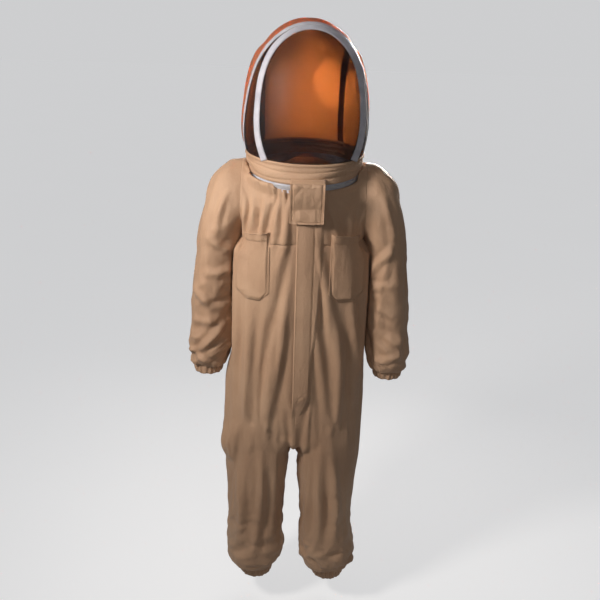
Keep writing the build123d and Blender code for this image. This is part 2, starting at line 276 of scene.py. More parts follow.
def resample(rows, levels):
    """Rows of numbers read at even steps with a smooth curve between them."""
    rows = np.array(rows, float)
    at = np.linspace(0, len(rows) - 1, levels)
    low = np.clip(at.astype(int), 0, len(rows) - 2)
    t = (at - low)[:, None]
    before, a = rows[np.clip(low - 1, 0, None)], rows[low]
    b, after = rows[low + 1], rows[np.clip(low + 2, None, len(rows) - 1)]
    m0, m1 = (b - before) / 2, (after - a) / 2
    leaving = (2 * t**3 - 3 * t**2 + 1) * a + (t**3 - 2 * t**2 + t) * m0
    return leaving + (3 * t**2 - 2 * t**3) * b + (t**3 - t**2) * m1


def grid_faces(levels, count, closed=True, flip=False):
    faces = []
    for row in range(0, (levels - 1) * count, count):
        for j in range(count if closed else count - 1):
            n = (j + 1) % count
            faces.append((row + j, row + n, row + count + n, row + count + j))
    return [face[::-1] for face in faces] if flip else faces


def tube_faces(levels, count):
    """A closed grid's faces and its two caps."""
    last = (levels - 1) * count
    return grid_faces(levels, count) + [tuple(range(count)), tuple(range(last, last + count))]


def capped_tube(name, rows, levels, count=56, power=2.25):
    rings = [oval_ring(*row, count, power) for row in resample(np.array(rows) / 1000, levels)]
    obj = new_object(name, np.concatenate(rings), tube_faces(levels, count))
    outwards(obj)
    return obj


# ---------------------------------------------------------------- folds
def gradient_noise(points, seed):
    """Smooth noise from -1 to 1 at each point, the same on every run."""
    rng = np.random.default_rng(seed)
    table = np.tile(rng.permutation(256), 2)
    slopes = rng.normal(size=(256, 3))
    slopes /= np.linalg.norm(slopes, axis=1)[:, None]
    cell = np.floor(points).astype(int)
    t = points - cell
    fade = t * t * t * (t * (t * 6 - 15) + 10)
    total = np.zeros(len(points))
    for corner in np.ndindex(2, 2, 2):
        c = (cell + corner) & 255
        slope = slopes[table[table[table[c[:, 0]] + c[:, 1]] + c[:, 2]]]
        share = np.prod(np.where(corner, fade, 1 - fade), axis=1)
        total += share * np.einsum("ij,ij->i", slope, t - np.array(corner))
    return total * 1.6


def front_noise(x, z, seed):
    """Noise over a grid of places on the front."""
    return gradient_noise(as_points(x, np.zeros(x.shape), z), seed).reshape(x.shape)


def ridges(points, scale, seed, warp=0.7):
    """Sharp-crested waves, from about -1 to 1, stretched by the scale along each axis."""
    q = points * np.asarray(scale, float)
    shift = np.stack([gradient_noise(q * 0.6 + 7.3 * k, seed + k + 1) for k in range(3)], axis=1)
    n = gradient_noise(q + warp * shift, seed)
    return 1 - np.sqrt(n * n + 0.006) * 2.2


def crease(points, start, end, width, height, front=True, gain=1):
    """A single fold between two (x, z) places on the front or the back, all in mm, fading at its ends."""
    a, b, width, height = np.array(start) / 1000, np.array(end) / 1000, width / 1000, gain * (height / 1000)
    p = points[:, [0, 2]]
    along = np.clip(((p - a) @ (b - a)) / ((b - a) @ (b - a)), 0, 1)
    bow = 0.12 * np.sin(along * math.pi) * np.linalg.norm(b - a)
    normal = np.array([-(b - a)[1], (b - a)[0]]) / np.linalg.norm(b - a)
    spine = a + along[:, None] * (b - a) + bow[:, None] * 0.3 * normal
    far = np.linalg.norm(p - spine, axis=1)
    side = ease(0.0, 0.03, -points[:, 1] if front else points[:, 1])
    shape = bell(far, width) - 0.45 * bell(far - 1.7 * width, width)
    return height * shape * np.sin(np.clip(along, 0.02, 0.98) * math.pi) ** 0.6 * side


FOLD_GAIN = 1.35                # the settling takes some of each fold away
# main folds of the overall, in mm: (start x, z), (end x, z), half width, height, on the front
FOLDS = [
    ((-98, -65), (-106, -200), 6.5, 8.5, True),
    ((-70, -72), (-74, -225), 6, 8.5, True),
    ((-122, -70), (-136, -195), 6.5, 8, True),
    ((-146, -80), (-154, -205), 6, 8, True),
    ((-46, -90), (-40, -240), 6, 6.5, True),
    ((95, -80), (140, -210), 9, 5.5, True),
    ((70, -80), (80, -185), 8, 3.5, True),
    ((-60, -230), (-52, -620), 11, 7.5, True),
    ((-30, -300), (-26, -700), 9, 5, True),
    ((-100, -390), (-92, -800), 13, 8, True),
    ((-150, -400), (-155, -760), 13, 7.5, True),
    ((62, -230), (66, -560), 12, 6, True),
    ((105, -400), (92, -840), 14, 8, True),
    ((150, -410), (150, -700), 12, 6.5, True),
    ((10, -810), (-120, -700), 11, 5, True),
    ((0, -850), (110, -740), 11, 5, True),
    ((-12, -690), (-10, -860), 8, 6, True),
    ((-105, -830), (-120, -1180), 12, 8.5, True),
    ((-60, -900), (-75, -1130), 11, 6, True),
    ((-170, -900), (-160, -1120), 12, 7, True),
    ((60, -860), (80, -1150), 11, 6.5, True),
    ((115, -840), (120, -1160), 13, 8.5, True),
    ((-190, -560), (-150, -330), 12, 6, True),
    ((180, -560), (140, -330), 12, 6, True),
    ((-100, -150), (-80, -620), 14, 8.5, False),
    ((90, -150), (85, -600), 14, 8.5, False),
    ((10, -250), (-10, -700), 15, 6.5, False),
    ((-150, -200), (-60, -330), 12, 6, False),
    ((150, -200), (60, -330), 12, 6, False),
    ((-150, -450), (-120, -850), 14, 8, False),
    ((150, -450), (125, -850), 14, 8, False),
    ((-20, -860), (-150, -760), 13, 7, False),
    ((20, -860), (150, -760), 13, 7, False),
    ((-115, -880), (-120, -1180), 13, 8, False),
    ((110, -880), (118, -1180), 13, 8, False),
]


# main folds of the sleeves' fronts, in mm, x measured outwards: (start x, z), (end x, z), half width, height
RIGHT_SLEEVE_FOLDS = [
    ((250, -196), (190, -240), 9, 9),
    ((200, -80), (228, -190), 8, 6),
    ((278, -300), (190, -286), 9, 8.5),
    ((295, -335), (240, -394), 9, 9),
    ((250, -394), (188, -388), 8, 9),
    ((300, -440), (215, -428), 9, 7),
    ((192, -432), (285, -540), 9, 10.5),
    ((305, -520), (240, -566), 7.5, 7),
]
LEFT_SLEEVE_FOLDS = [
    ((190, -285), (252, -205), 9, 8.5),
    ((205, -80), (238, -190), 8, 5.5),
    ((192, -330), (285, -312), 9, 7.5),
    ((192, -372), (270, -412), 9, 6),
    ((195, -450), (296, -492), 9, 9),
    ((215, -548), (290, -512), 8, 7),
]


def overall_folds(p):
    """Height of the folds of the trunk and legs at each point."""
    z = p[:, 2]
    knee = ease(-0.95, -1.15, z)
    shin = ease(-1.06, -1.19, z)
    hem = ease(-1.2, -1.28, z)
    upright = 0.007 * ridges(p, (15, 15, 2.2), 11) + 0.0028 * ridges(p, (27, 27, 5), 21)
    slanting = ridges(p, (9, 9, 22), 31, 0.9) * (0.001 + 0.0055 * knee + 0.007 * shin)
    height = upright * (1 - 0.55 * shin) + slanting
    for fold in FOLDS:
        height = height + crease(p, *fold, FOLD_GAIN)
    hip = np.exp(-(((p[:, 0] + 0.205) / 0.05) ** 2 + ((z + 0.815) / 0.045) ** 2))
    tuck = np.exp(-(((p[:, 0] + 0.205) / 0.04) ** 2 + ((z + 0.872) / 0.02) ** 2))
    height = height + 0.019 * hip - 0.008 * tuck
    height *= 0.3 + 0.7 * ease(-0.06, -0.13, z)
    return height * (1 - 0.55 * hem)


def sleeve_folds(p):
    """Height of a sleeve's folds: cross wrinkles at the elbow, pulls at the top and pleats above the cuff."""
    z = p[:, 2]
    axis = np.stack([p[:, 0] + 0.15 * z, p[:, 1], z + 0.55 * np.abs(p[:, 0])], axis=1)
    elbow = bell(z + 0.33, 0.09)
    low = ease(-0.42, -0.55, z)
    cross = ridges(axis, (7, 7, 17), 51, 0.9) * (0.005 + 0.006 * elbow + 0.0065 * low)
    fine = ridges(axis, (17, 17, 40), 61, 0.8) * (0.0014 + 0.0016 * low)
    upright = ridges(p, (17, 17, 3.4), 71) * 0.0042
    start = ease(0.166, 0.2, p[:, 0])
    end = 1 - ease(-0.57, -0.592, z)
    around = np.arctan2(p[:, 1], np.abs(p[:, 0]) - CUFF_X)
    pleats = 0.0024 * np.cos(13 * around + 1.5 * np.sin(3 * around)) * ease(-0.545, -0.585, z)
    return (cross + fine + upright) * start * (0.25 + 0.75 * end) + pleats


# ---------------------------------------------------------------- the overall's cloth
def shoulder_ball(sign):
    bm = bmesh.new()
    bmesh.ops.create_icosphere(bm, subdivisions=5, radius=1.0)
    place = Matrix.Translation((sign * 0.11, ARM_CENTRE[0], ARM_CENTRE[1]))
    bmesh.ops.transform(bm, matrix=place @ Matrix.Diagonal((0.12, 0.078, 0.1015, 1)), verts=bm.verts)
    return from_bmesh("shoulder", bm)


def even_mesh(obj, smoothing):
    remesh = obj.modifiers.new("even", "REMESH")
    remesh.mode = "VOXEL"
    remesh.voxel_size = VOXEL
    relax = obj.modifiers.new("relax", "SMOOTH")
    relax.factor = 0.5
    relax.iterations = smoothing
    apply_modifiers(obj)


def overall_base():
    """Trunk, shoulders and legs as one mesh of even small faces, open at the neck, arms and ankles."""
    tubes = ((TRUNK, 80), (RIGHT_LEG, 60), (LEFT_LEG, 60))
    parts = [capped_tube("part", rows, levels) for rows, levels in tubes]
    obj = join("overall", parts + [shoulder_ball(-1), shoulder_ball(1)])
    even_mesh(obj, 3)
    subtract(obj, drum(0.1412, 0.156, -NECK_DROP, 0.042), leave_open=False)
    even_mesh(obj, 4)
    open_ends(obj)
    return obj


def drum(low, high, bottom, top):
    """Closed cone on the collar ring's axis, from one height to another."""
    bm = bmesh.new()
    bmesh.ops.create_cone(bm, cap_ends=True, segments=128, radius1=low, radius2=high, depth=top - bottom)
    bmesh.ops.transform(bm, matrix=RING @ Matrix.Translation((0, 0, (top + bottom) / 2)), verts=bm.verts)
    return from_bmesh("drum", bm)


def subtract(obj, cutter, leave_open):
    """Cut the cutter's shape away, and leave a hole there if asked to."""
    for thing in (obj, cutter):
        thing.data.materials.clear()
        thing.data.materials.append(bpy.data.materials.new("mark"))
    cut = obj.modifiers.new("cut", "BOOLEAN")
    cut.operation = "DIFFERENCE"
    cut.solver = "EXACT"
    cut.material_mode = "TRANSFER"
    cut.object = cutter
    apply_modifiers(obj)
    bpy.data.objects.remove(cutter)
    if leave_open:
        with edited(obj) as bm:
            bmesh.ops.delete(bm, geom=[f for f in bm.faces if f.material_index == 1], context="FACES")
    obj.data.materials.clear()


def open_ends(obj):
    """Open the neck, the ankles and the armholes."""
    subtract(obj, drum(0.14, 0.14, -0.0215, 0.04), leave_open=True)
    cuts = [((0, 0, -1.286), (0, 0, -1), lambda f: f.z < -1.2)]
    for sign in (-1, 1):
        cuts.append(((sign * ARM_X, 0, 0), (sign, 0, 0), lambda f: -0.202 < f.z and abs(f.x) > 0.14))
    with edited(obj) as bm:
        for place, away, near in cuts:
            faces = [f for f in bm.faces if near(f.calc_center_median())]
            slice_faces(bm, faces, place, away, 0.0006, clear=True)
        bmesh.ops.remove_doubles(bm, verts=bm.verts, dist=0.0012)
        bmesh.ops.delete(bm, geom=[v for v in bm.verts if not v.link_faces], context="VERTS")


def sleeve_base(sign, levels=96, count=72):
    """One sleeve as an open grid, from the armhole ring to the cuff."""
    rows = resample(SLEEVE, levels)
    around = np.arange(count) * 2 * math.pi / count
    points = []
    for x0, z0, x1, z1, deep in rows:
        middle = np.array([(x0 + x1) / 2, ARM_CENTRE[0], (z0 + z1) / 2])
        reach = np.array([(x1 - x0) / 2, 0, (z1 - z0) / 2])
        ring = middle + np.cos(around)[:, None] * reach
        ring[:, 1] += deep * np.sin(around)
        points.append(ring)
    points = np.concatenate(points) * (sign, 1, 1)
    return new_object("sleeve", points, grid_faces(levels, count, flip=sign > 0))


def rim_vertices(obj):
    bm = bmesh.new()
    bm.from_mesh(obj.data)
    rim = sorted({v.index for e in bm.edges if e.is_boundary for v in e.verts})
    bm.free()
    return np.array(rim)


def simulate(obj, hold, cut_shape, frames):
    """Let the cloth settle: hold is each point's pull to its place, cut_shape its unstressed form."""
    obj.shape_key_add(name="worn")
    key = obj.shape_key_add(name="cut")
    key.data.foreach_set("co", cut_shape.ravel())
    key.value = 0
    group = obj.vertex_groups.new(name="hold")
    steps = np.round(hold, 2)
    for weight in np.unique(steps):
        group.add([int(i) for i in np.where(steps == weight)[0]], float(weight), "REPLACE")
    cloth = obj.modifiers.new("cloth", "CLOTH")
    settings = cloth.settings
    settings.rest_shape_key = key
    settings.vertex_group_mass = "hold"
    settings.quality = 5
    settings.mass = 0.2
    settings.air_damping = 1.5
    settings.tension_stiffness = settings.compression_stiffness = 14
    settings.shear_stiffness = 5
    settings.bending_stiffness = 0.25
    settings.tension_damping = settings.compression_damping = settings.shear_damping = 8
    cloth.collision_settings.use_collision = False
    cloth.point_cache.frame_start = 1
    cloth.point_cache.frame_end = frames
    for number in range(1, frames + 1):
        bpy.context.scene.frame_set(number)
    settled = obj.evaluated_get(bpy.context.evaluated_depsgraph_get()).to_mesh()
    flat = np.zeros(len(settled.vertices) * 3)
    settled.vertices.foreach_get("co", flat)
    obj.modifiers.remove(cloth)
    obj.shape_key_clear()
    obj.vertex_groups.clear()
    bpy.context.scene.frame_set(1)
    return flat.reshape(-1, 3)


def keep_apart(p):
    """Press the trunk's side flat where the sleeve lies against it."""
    beside = ease(-0.205, -0.24, p[:, 2]) * (1 - ease(-0.5, -0.65, p[:, 2]))
    beside = beside * (1 - ease(0.055, 0.085, np.abs(p[:, 1])))
    out = np.abs(p[:, 0]) - (CONTACT_X - 0.0015)
    over = np.where(out > 0, out, 0.8 * out * (out > -0.025))
    p = p.copy()
    p[:, 0] -= np.sign(p[:, 0]) * over * beside
    return p


def make_overall():
    """The trunk and legs with folds, settled; its smooth form is kept as the attribute 'cut'."""
    obj = overall_base()
    smooth = get_points(obj)
    folded = smooth + get_normals(obj) * overall_folds(smooth)[:, None]
    front = (smooth[:, 1] < 0) & (smooth[:, 2] > -0.66)
    flat = front * (1 - ease(0.016, 0.045, np.abs(smooth[:, 0] - 0.004)))
    folded = folded + (smooth + (0, 0.002, 0) - folded) * flat[:, None]
    hold = 0.16 + 0.55 * flat
    hold = np.maximum(hold, 0.5 * ease(-1.24, -1.28, smooth[:, 2]))
    hold[rim_vertices(obj)] = 1.0
    cut_shape = smooth.copy()
    longer = 0.02 + 0.07 * ease(-0.85, -1.15, smooth[:, 2])
    cut_shape[:, 2] -= longer * np.clip(-smooth[:, 2] - 0.1, 0, None) * 0.5
    cut_shape[:, :2] *= 1.03
    set_points(obj, folded)
    folded = simulate(obj, hold, cut_shape, FRAMES)
    set_points(obj, smooth, "cut")
    set_points(obj, keep_apart(folded))
    subdivide(obj)
    return obj


def make_sleeve(sign):
    obj = sleeve_base(sign)
    smooth = get_points(obj)
    height = sleeve_folds(smooth * (sign, sign, 1))
    for fold in RIGHT_SLEEVE_FOLDS if sign < 0 else LEFT_SLEEVE_FOLDS:
        height = height + crease(smooth * (sign, 1, 1), *fold)
    folded = smooth + get_normals(obj) * height[:, None]
    hold = 0.16 + 0.3 * ease(-0.32, -0.14, smooth[:, 2])
    hold[rim_vertices(obj)] = 1.0
    cut_shape = smooth.copy()
    cut_shape[:, 2] += 0.05 * np.clip(smooth[:, 2] + 0.16, None, 0)
    set_points(obj, folded)
    folded = simulate(obj, hold, cut_shape, FRAMES)
    inside = CONTACT_X + 0.0005 - folded[:, 0] * sign
    inside = np.where(inside > 0, inside, 0.8 * inside * (1 - ease(0.006, 0.016, -inside)))
    beside = ease(-0.235, -0.28, folded[:, 2]) * (1 - ease(-0.52, -0.56, folded[:, 2]))
    folded[:, 0] += sign * inside * beside
    set_points(obj, smooth, "cut")
    set_points(obj, folded)
    subdivide(obj)
    return obj


# ---------------------------------------------------------------- fitting the cloth's edges
def round_offset(angles, values, at):
    """Values known at some angles, read at others."""
    order = np.argsort(angles)
    a = angles[order]
    a = np.concatenate([a[-4:] - 2 * math.pi, a, a[:4] + 2 * math.pi])
    v = np.concatenate([values[order][-4:], values[order], values[order][:4]])
    return np.stack([np.interp(at, a, v[:, k]) for k in range(3)], axis=1)


def lift_shoulders(obj):
    """Puff the cloth up beside the hood's band, the same way on the yokes and on the sleeves."""
    p = get_points(obj)
    puff = np.exp(-(((np.abs(p[:, 0]) - 0.16) / 0.026) ** 2) - (p[:, 1] / 0.06) ** 2)
    p[:, 2] += 0.011 * puff * ease(-0.085, -0.03, p[:, 2])
    set_points(obj, p)


def fit_neck(obj):
    """Bring the neck's edge onto the collar zip's tape."""
    points = get_points(obj)
    matrix = np.array(RING)
    local = (points - matrix[:3, 3]) @ matrix[:3, :3]
    rim = rim_vertices(obj)
    rim = rim[(np.abs(local[rim, 2] + 0.014) < 0.03) & (np.hypot(local[rim, 0], local[rim, 1]) < 0.155)]
    angle = np.arctan2(local[:, 1], local[:, 0])
    cover = ease(-2.03, -2.16, angle[rim]) * ease(-3.1, -2.9, angle[rim])
    out = NECK_R + 0.0042 * cover
    goal = np.stack([out * np.cos(angle[rim]), out * np.sin(angle[rim]), NECK_EDGE + 0.0115 * cover], axis=1)
    move = round_offset(angle[rim], goal - local[rim], angle)
    far = np.hypot(np.hypot(local[:, 0], local[:, 1]) - NECK_R, local[:, 2] - NECK_EDGE)
    local = local + move * (1 - ease(0.004, 0.022, far))[:, None]
    local[rim] = goal
    gathers = 0.0026 * np.cos(66 * angle) * ease(-2.2, -2.08, angle) * (1 - ease(-1.84, -1.76, angle))
    gathers = gathers * ease(0.001, 0.008, far) * (1 - ease(0.02, 0.05, far))
    local[:, :2] += np.stack([np.cos(angle), np.sin(angle)], axis=1) * gathers[:, None]
    set_points(obj, local @ matrix[:3, :3].T + matrix[:3, 3])


def fit_armhole(sleeve, overall, sign):
    """Bring the sleeve's first ring onto the armhole's edge."""
    hole = get_points(overall)[rim_vertices(overall)]
    hole = hole[(hole[:, 0] * sign > 0.14) & (hole[:, 2] > -0.22)]
    points = get_points(sleeve)
    rim = rim_vertices(sleeve)
    ring = points[rim]
    ring = ring[ring[:, 2] > -0.3]
    cy, cz = ARM_CENTRE

    def turn(p):
        return np.arctan2(p[:, 2] - cz, p[:, 1] - cy)

    at = turn(points)
    hole_there = round_offset(turn(hole), hole, at)
    ring_there = round_offset(turn(ring), ring, at)
    near = 1 - ease(0.0, 0.025, np.abs(points[:, 0]) - ARM_X)
    set_points(sleeve, points + (hole_there - ring_there) * near[:, None])


def seam_groove(obj):
    """Sink the cloth along the seams, where it is sewn and pressed."""
    cut, made = get_points(obj, "cut"), get_points(obj)
    body = cut[:, 2] > -0.86
    far = np.minimum(np.where(body, np.abs(cut[:, 0] - CENTRE_X), 1.0), np.abs(cut[:, 1]))
    far = np.minimum(far, np.abs(cut[:, 2] - YOKE_Z))
    set_points(obj, made - get_normals(obj) * (0.0016 * bell(far, 0.005))[:, None])


def cut_panels(obj):
    """The overall cut along its seams: a dict from (left, front, yoke) to the panel."""
    made, cut = get_points(obj), get_points(obj, "cut")
    set_points(obj, made, "made")
    set_points(obj, cut)
    bm = bmesh.new()
    bm.from_mesh(obj.data)
    for place, normal in (((CENTRE_X, 0, 0), (1, 0, 0)), ((0, 0, 0), (0, 1, 0)), ((0, 0, YOKE_Z), (0, 0, 1))):
        slice_faces(bm, bm.faces[:], place, normal, 0.0004)

    def key(face):
        c = face.calc_center_median()
        yoke = c.z > YOKE_Z
        back = c.y > 0
        return (c.x > CENTRE_X and not (yoke and back), not back, yoke)

    panels = split(bm, key)
    for panel in panels.values():
        set_points(panel, get_points(panel, "made"))
    bpy.data.objects.remove(obj)
    return panels


def gathered_casing(name, centre_x, radius, top, bottom, pleats, turn):
    """Short tube of cloth gathered over its elastic."""
    levels, count = 15, 240
    around = np.arange(count) * 2 * math.pi / count
    pleat = np.cos(pleats * around + 1.7 * np.sin(2 * around + turn) + 0.9 * np.sin(5 * around))
    points = []
    for step in np.linspace(0, 1, levels):
        puff = math.sin(math.pi * min(step, 1.0)) ** 0.6
        deep = 0.0021 * (0.35 + 0.65 * puff)
        r = radius - 0.003 * max(0.0, 1 - step / 0.15) + 0.0022 * puff
        r = r + deep * np.sign(pleat) * np.abs(pleat) ** 0.8
        z = top + (bottom - top) * step + 0.0011 * np.cos(pleats * around * 0.5 + turn) * step
        points.append(as_points(centre_x + r * np.cos(around), r * np.sin(around), z))
    obj = new_object(name, np.concatenate(points), grid_faces(levels, count, flip=True))
    thicken(obj, 0.0012)
    return obj


# ---------------------------------------------------------------- finding the surface
def tree_of(objects, matrix=None):
    bm = bmesh.new()
    for obj in objects:
        bm.from_mesh(obj.data)
    if matrix is not None:
        bm.transform(matrix)
    tree = BVHTree.FromBMesh(bm)
    bm.free()
    return tree


def front_y(tree, x, z):
    """Y of the cloth's front at each (x, z)."""
    known, found = [], []
    for i, (px, pz) in enumerate(zip(x.ravel(), z.ravel())):
        hit = tree.ray_cast(Vector((px, -0.4, pz)), Vector((0, 1, 0)))[0]
        if hit is not None:
            known.append(i)
            found.append(hit.y)
    return np.interp(np.arange(x.size), known, found).reshape(x.shape)


def blur(grid, times):
    for _ in range(times):
        wide = np.pad(grid, 1, mode="edge")
        grid = (wide[:-2, 1:-1] + wide[2:, 1:-1] + wide[1:-1, :-2] + wide[1:-1, 2:] + 2 * grid) / 6
    return grid


def stitch_row(line, out, long=0.003, gap=0.0013, wide=0.00055):
    """Thread stitches along a line of points: their points and faces."""
    line = np.asarray(line, float)
    out = np.broadcast_to(np.asarray(out, float), line.shape)
    run = np.concatenate([[0], np.cumsum(np.linalg.norm(np.diff(line, axis=0), axis=1))])
    starts = np.arange(gap, run[-1] - long, long + gap)
    points, faces = [], []
    for start in starts:
        at = start + np.array([0.0, 0.22, 0.78, 1.0]) * long
        spine = np.stack([np.interp(at, run, line[:, k]) for k in range(3)], axis=1)
        up = np.array([np.interp(start, run, out[:, k]) for k in range(3)])
        side = np.cross(spine[3] - spine[0], up)
        side /= max(np.linalg.norm(side), 1e-9)
        base = len(points)
        points.append(spine[0])
        for mid in spine[1:3]:
            points += [mid + side * wide, mid + up * wide, mid - side * wide, mid - up * wide * 0.6]
        points.append(spine[3])
        for k in range(4):
            n = (k + 1) % 4
            faces.append((base, base + 1 + n, base + 1 + k))
            faces.append((base + 1 + k, base + 1 + n, base + 5 + n, base + 5 + k))
            faces.append((base + 5 + k, base + 5 + n, base + 9))
    return points, faces


def stitching(name, rows):
    """One object of several rows of stitches, each a (line, outward direction)."""
    points, faces = [], []
    for line, out in rows:
        more, shapes = stitch_row(line, out)
        faces += [tuple(i + len(points) for i in shape) for shape in shapes]
        points += more
    return new_object(name, points, faces)


def front_line(tree, corners, lift=0.0004, step=0.002):
    """Points on the front of the cloth along straight runs between (x, z) corners."""
    corners = np.array(corners, float)
    run = np.concatenate([[0], np.cumsum(np.linalg.norm(np.diff(corners, axis=0), axis=1))])
    at = np.linspace(0, run[-1], max(int(run[-1] / step), 8))
    x, z = np.interp(at, run, corners[:, 0]), np.interp(at, run, corners[:, 1])
    return np.stack([x, front_y(tree, x, z) - lift, z], axis=1)


def facing_rows(tree, *paths):
    """Stitch rows on the front of the cloth, one along each path of (x, z) corners."""
    return [(front_line(tree, path), (0, -1, 0)) for path in paths]


# ---------------------------------------------------------------- pockets, placket and flap
def make_pocket(name, tree, sign, seed):
    """Patch pocket with a hem, lying over the chest's folds with its top edge gaping a little."""
    inner, outer = (-0.083, -0.178) if sign < 0 else (0.076, 0.176)
    top, bottom, bevel = -0.176, -0.36, 0.025
    rows, count = 74, 48
    v = np.linspace(0, 1, rows) ** 1.35
    z = top + (bottom - top) * v
    cutoff = np.clip(bevel - (z - bottom), 0, None)
    u = np.linspace(0, 1, count)
    narrow = 0.023 * (1 - ease(-0.2, -0.25, z))
    x = (inner + sign * cutoff)[:, None] + (outer - inner - sign * (2 * cutoff + narrow))[:, None] * u
    z = np.repeat(z[:, None], count, axis=1) + 0.009 * (0.5 - u)[None, :] * (1 - v)[:, None]
    under = front_y(tree, x, z)
    calm = blur(under, 60)
    flat = as_points(x, np.zeros(x.shape), z)
    slant = flat @ np.array([[1, 0, 0.35 * sign], [0, 1, 0], [-0.3 * sign, 0, 1]])
    fold = 0.0026 * ridges(slant, (15, 1, 6), seed) + 0.0005 * ridges(flat, (40, 1, 16), seed + 5)
    fold = fold.reshape(x.shape)
    down = v * (top - bottom)
    edge = np.minimum(np.minimum(u, 1 - u)[None, :] * abs(outer - inner), (1 - v)[:, None] * (top - bottom))
    free = ease(0.0015, 0.01, edge)
    gape = 0.0095 * (np.sin(math.pi * u) ** 0.8)[None, :] * ((1 - v)[:, None] ** 5)
    loose = np.minimum(calm - 0.0052 - np.clip(fold, 0, None), under - 0.003)
    y = under - 0.002 + (loose - (under - 0.002)) * free - gape
    hem = ease(0.0235, 0.0215, down)
    bead = bell(down - 0.0016, 0.0016)
    pressed = bell(edge - 0.0062, 0.0022) * ease(0.004, 0.012, down)[:, None]
    pressed = pressed + bell(down - 0.0225, 0.0022)[:, None]
    y = y - 0.0007 * hem[:, None] - 0.0022 * bead[:, None] + 0.0012 * pressed
    obj = new_object(name, as_points(x, y, z), grid_faces(rows, count, False, flip=sign > 0))
    thicken(obj, 0.0018)
    own = tree_of([obj])
    deep = 0.0035
    near, far = inner + sign * deep, outer - sign * deep
    round_edge = [
        (near, top - 0.003), (near, bottom + bevel + 0.001), (inner + sign * (bevel + 0.001), bottom + deep),
        (outer - sign * (bevel + 0.001), bottom + deep), (far, bottom + bevel + 0.001), (far, -0.25),
        (outer - sign * (deep + 0.023), top - 0.003),
    ]
    second = []
    for a, b in round_edge:
        inwards = sign * deep if a * sign < 0.12 else -sign * deep
        second.append((a + inwards, b + (deep if b < bottom + 0.015 else 0)))
    hem_row = [(near, top - 0.021), (outer - sign * (deep + 0.022), top - 0.0225)]
    return obj, facing_rows(own, round_edge, second, hem_row)


def placket_edge(z):
    """X of the placket's free edge: it leans a little."""
    return -0.0148 + (z + 0.169) * -0.004


def make_placket(tree):
    """Fly front over the zip: free along its right edge, sewn down along its left."""
    rows, count = 190, 44
    z = np.linspace(-0.098, -0.745, rows)
    u = np.linspace(0, 1, count)
    left = placket_edge(z)
    right = 0.062 - 0.022 * ease(-0.3, -0.62, z) - 0.036 * ease(-0.625, -0.745, z)
    x = left[:, None] + (right - left)[:, None] * u
    zz = np.repeat(z[:, None], count, axis=1)
    uu = np.repeat(u[None, :], rows, axis=0)
    under = blur(front_y(tree, x, zz), 3)
    calm = np.minimum(blur(under, 40), under)
    raised = -0.1318
    from_edge = x - left[:, None]
    hump = (0.55 + 0.45 * ease(0.0, 0.003, from_edge)) * (1 - ease(0.006, 0.058, x))
    slider_room = ease(-0.7, -0.632, zz)
    sewn = under + 0.002
    loose = np.minimum(calm - 0.0026, -0.124 + 0.03 * ease(-0.64, -0.7, zz))
    y = loose + (raised - loose) * hump * slider_room
    y = y + (sewn - y) * ease(0.78, 1.0, uu)
    y = y - 0.0015 * np.abs(front_noise(x * 30, zz * 16, 91)) * (1 - hump)
    y = y + (sewn - y) * ease(-0.655, -0.738, zz) * 0.9
    seam_x, hook_z, hook_wide, hook_deep = 0.0325, -0.612, 0.031, 0.036
    bend = seam_x - hook_wide * ease(-0.608, -0.65, zz)
    pressed = bell(x - bend, 0.0026) * (1 - ease(-0.648, -0.652, zz))
    y = y - 0.0006 * bell(uu, 0.05) + 0.001 * pressed
    obj = new_object("placket_cloth", as_points(x, y, zz), grid_faces(rows, count, False, flip=True))
    thicken(obj, CLOTH_THICK)
    own = tree_of([obj])
    down = np.linspace(-0.17, hook_z, 60)
    sewn_row = [(seam_x, z) for z in down]
    for a in np.linspace(0, math.pi / 2, 24):
        sewn_row.append((seam_x - hook_wide * (1 - math.cos(a)), hook_z - hook_deep * math.sin(a)))
    second = [(a - 0.003, b + 0.002) for a, b in sewn_row]
    edge_row = [(placket_edge(z) + 0.0042, z) for z in down]
    return obj, facing_rows(own, sewn_row, second, edge_row)


def make_flap():
    """Hook-and-loop flap hanging from the hood's band over the zip's top."""
    rows, count = 64, 44
    line = resample([FLAP_TOP, (-0.1552, -0.048), (-0.152, -0.07), (-0.1455, -0.09), (-0.1392, -0.106),
                     (-0.1383, -0.123), (-0.1387, -0.141)], rows)
    u = np.linspace(0, 1, count)
    x = np.repeat(np.interp(u, [0, 1], FLAP_X)[None, :], rows, axis=0)
    y = np.repeat(line[:, :1], count, axis=1)
    z = np.repeat(line[:, 1:], count, axis=1)
    down = np.linspace(0, 1, rows)[:, None]
    dents = front_noise(x * 34 + 3, z * 30, 131)
    patch = ease(-0.102, -0.11, z) * ease(-0.014, -0.006, x) * (1 - ease(0.03, 0.036, x))
    edge = np.minimum(u, 1 - u)[None, :]
    y = y - 0.0034 * np.abs(dents) * ease(0.02, 0.15, edge) - 0.0016 * patch
    y = y - 0.0012 * (1 - ease(0, 0.09, edge))
    z = z - 0.0015 * np.sin(math.pi * u)[None, :] * down + 0.0006 * dents * down
    rim = np.minimum(edge * (FLAP_X[1] - FLAP_X[0]), (1 - down) * 0.105)
    y = y + 0.0012 * bell(rim - 0.006, 0.0024)
    obj = new_object("throat_flap_cloth", as_points(x, y, z), grid_faces(rows, count, False, flip=True))
    thicken(obj, 0.002)
    rounding = obj.modifiers.new("rounding", "BEVEL")
    rounding.width = 0.0007
    rounding.segments = 2
    rounding.limit_method = "ANGLE"
    apply_modifiers(obj)
    high, low = -0.05, -0.1365
    corners = [(-0.0285, high), (-0.0285, low), (0.0495, low), (0.0495, high)]
    return obj, facing_rows(tree_of([obj]), corners, [(-0.0225, high), (-0.0225, low)])


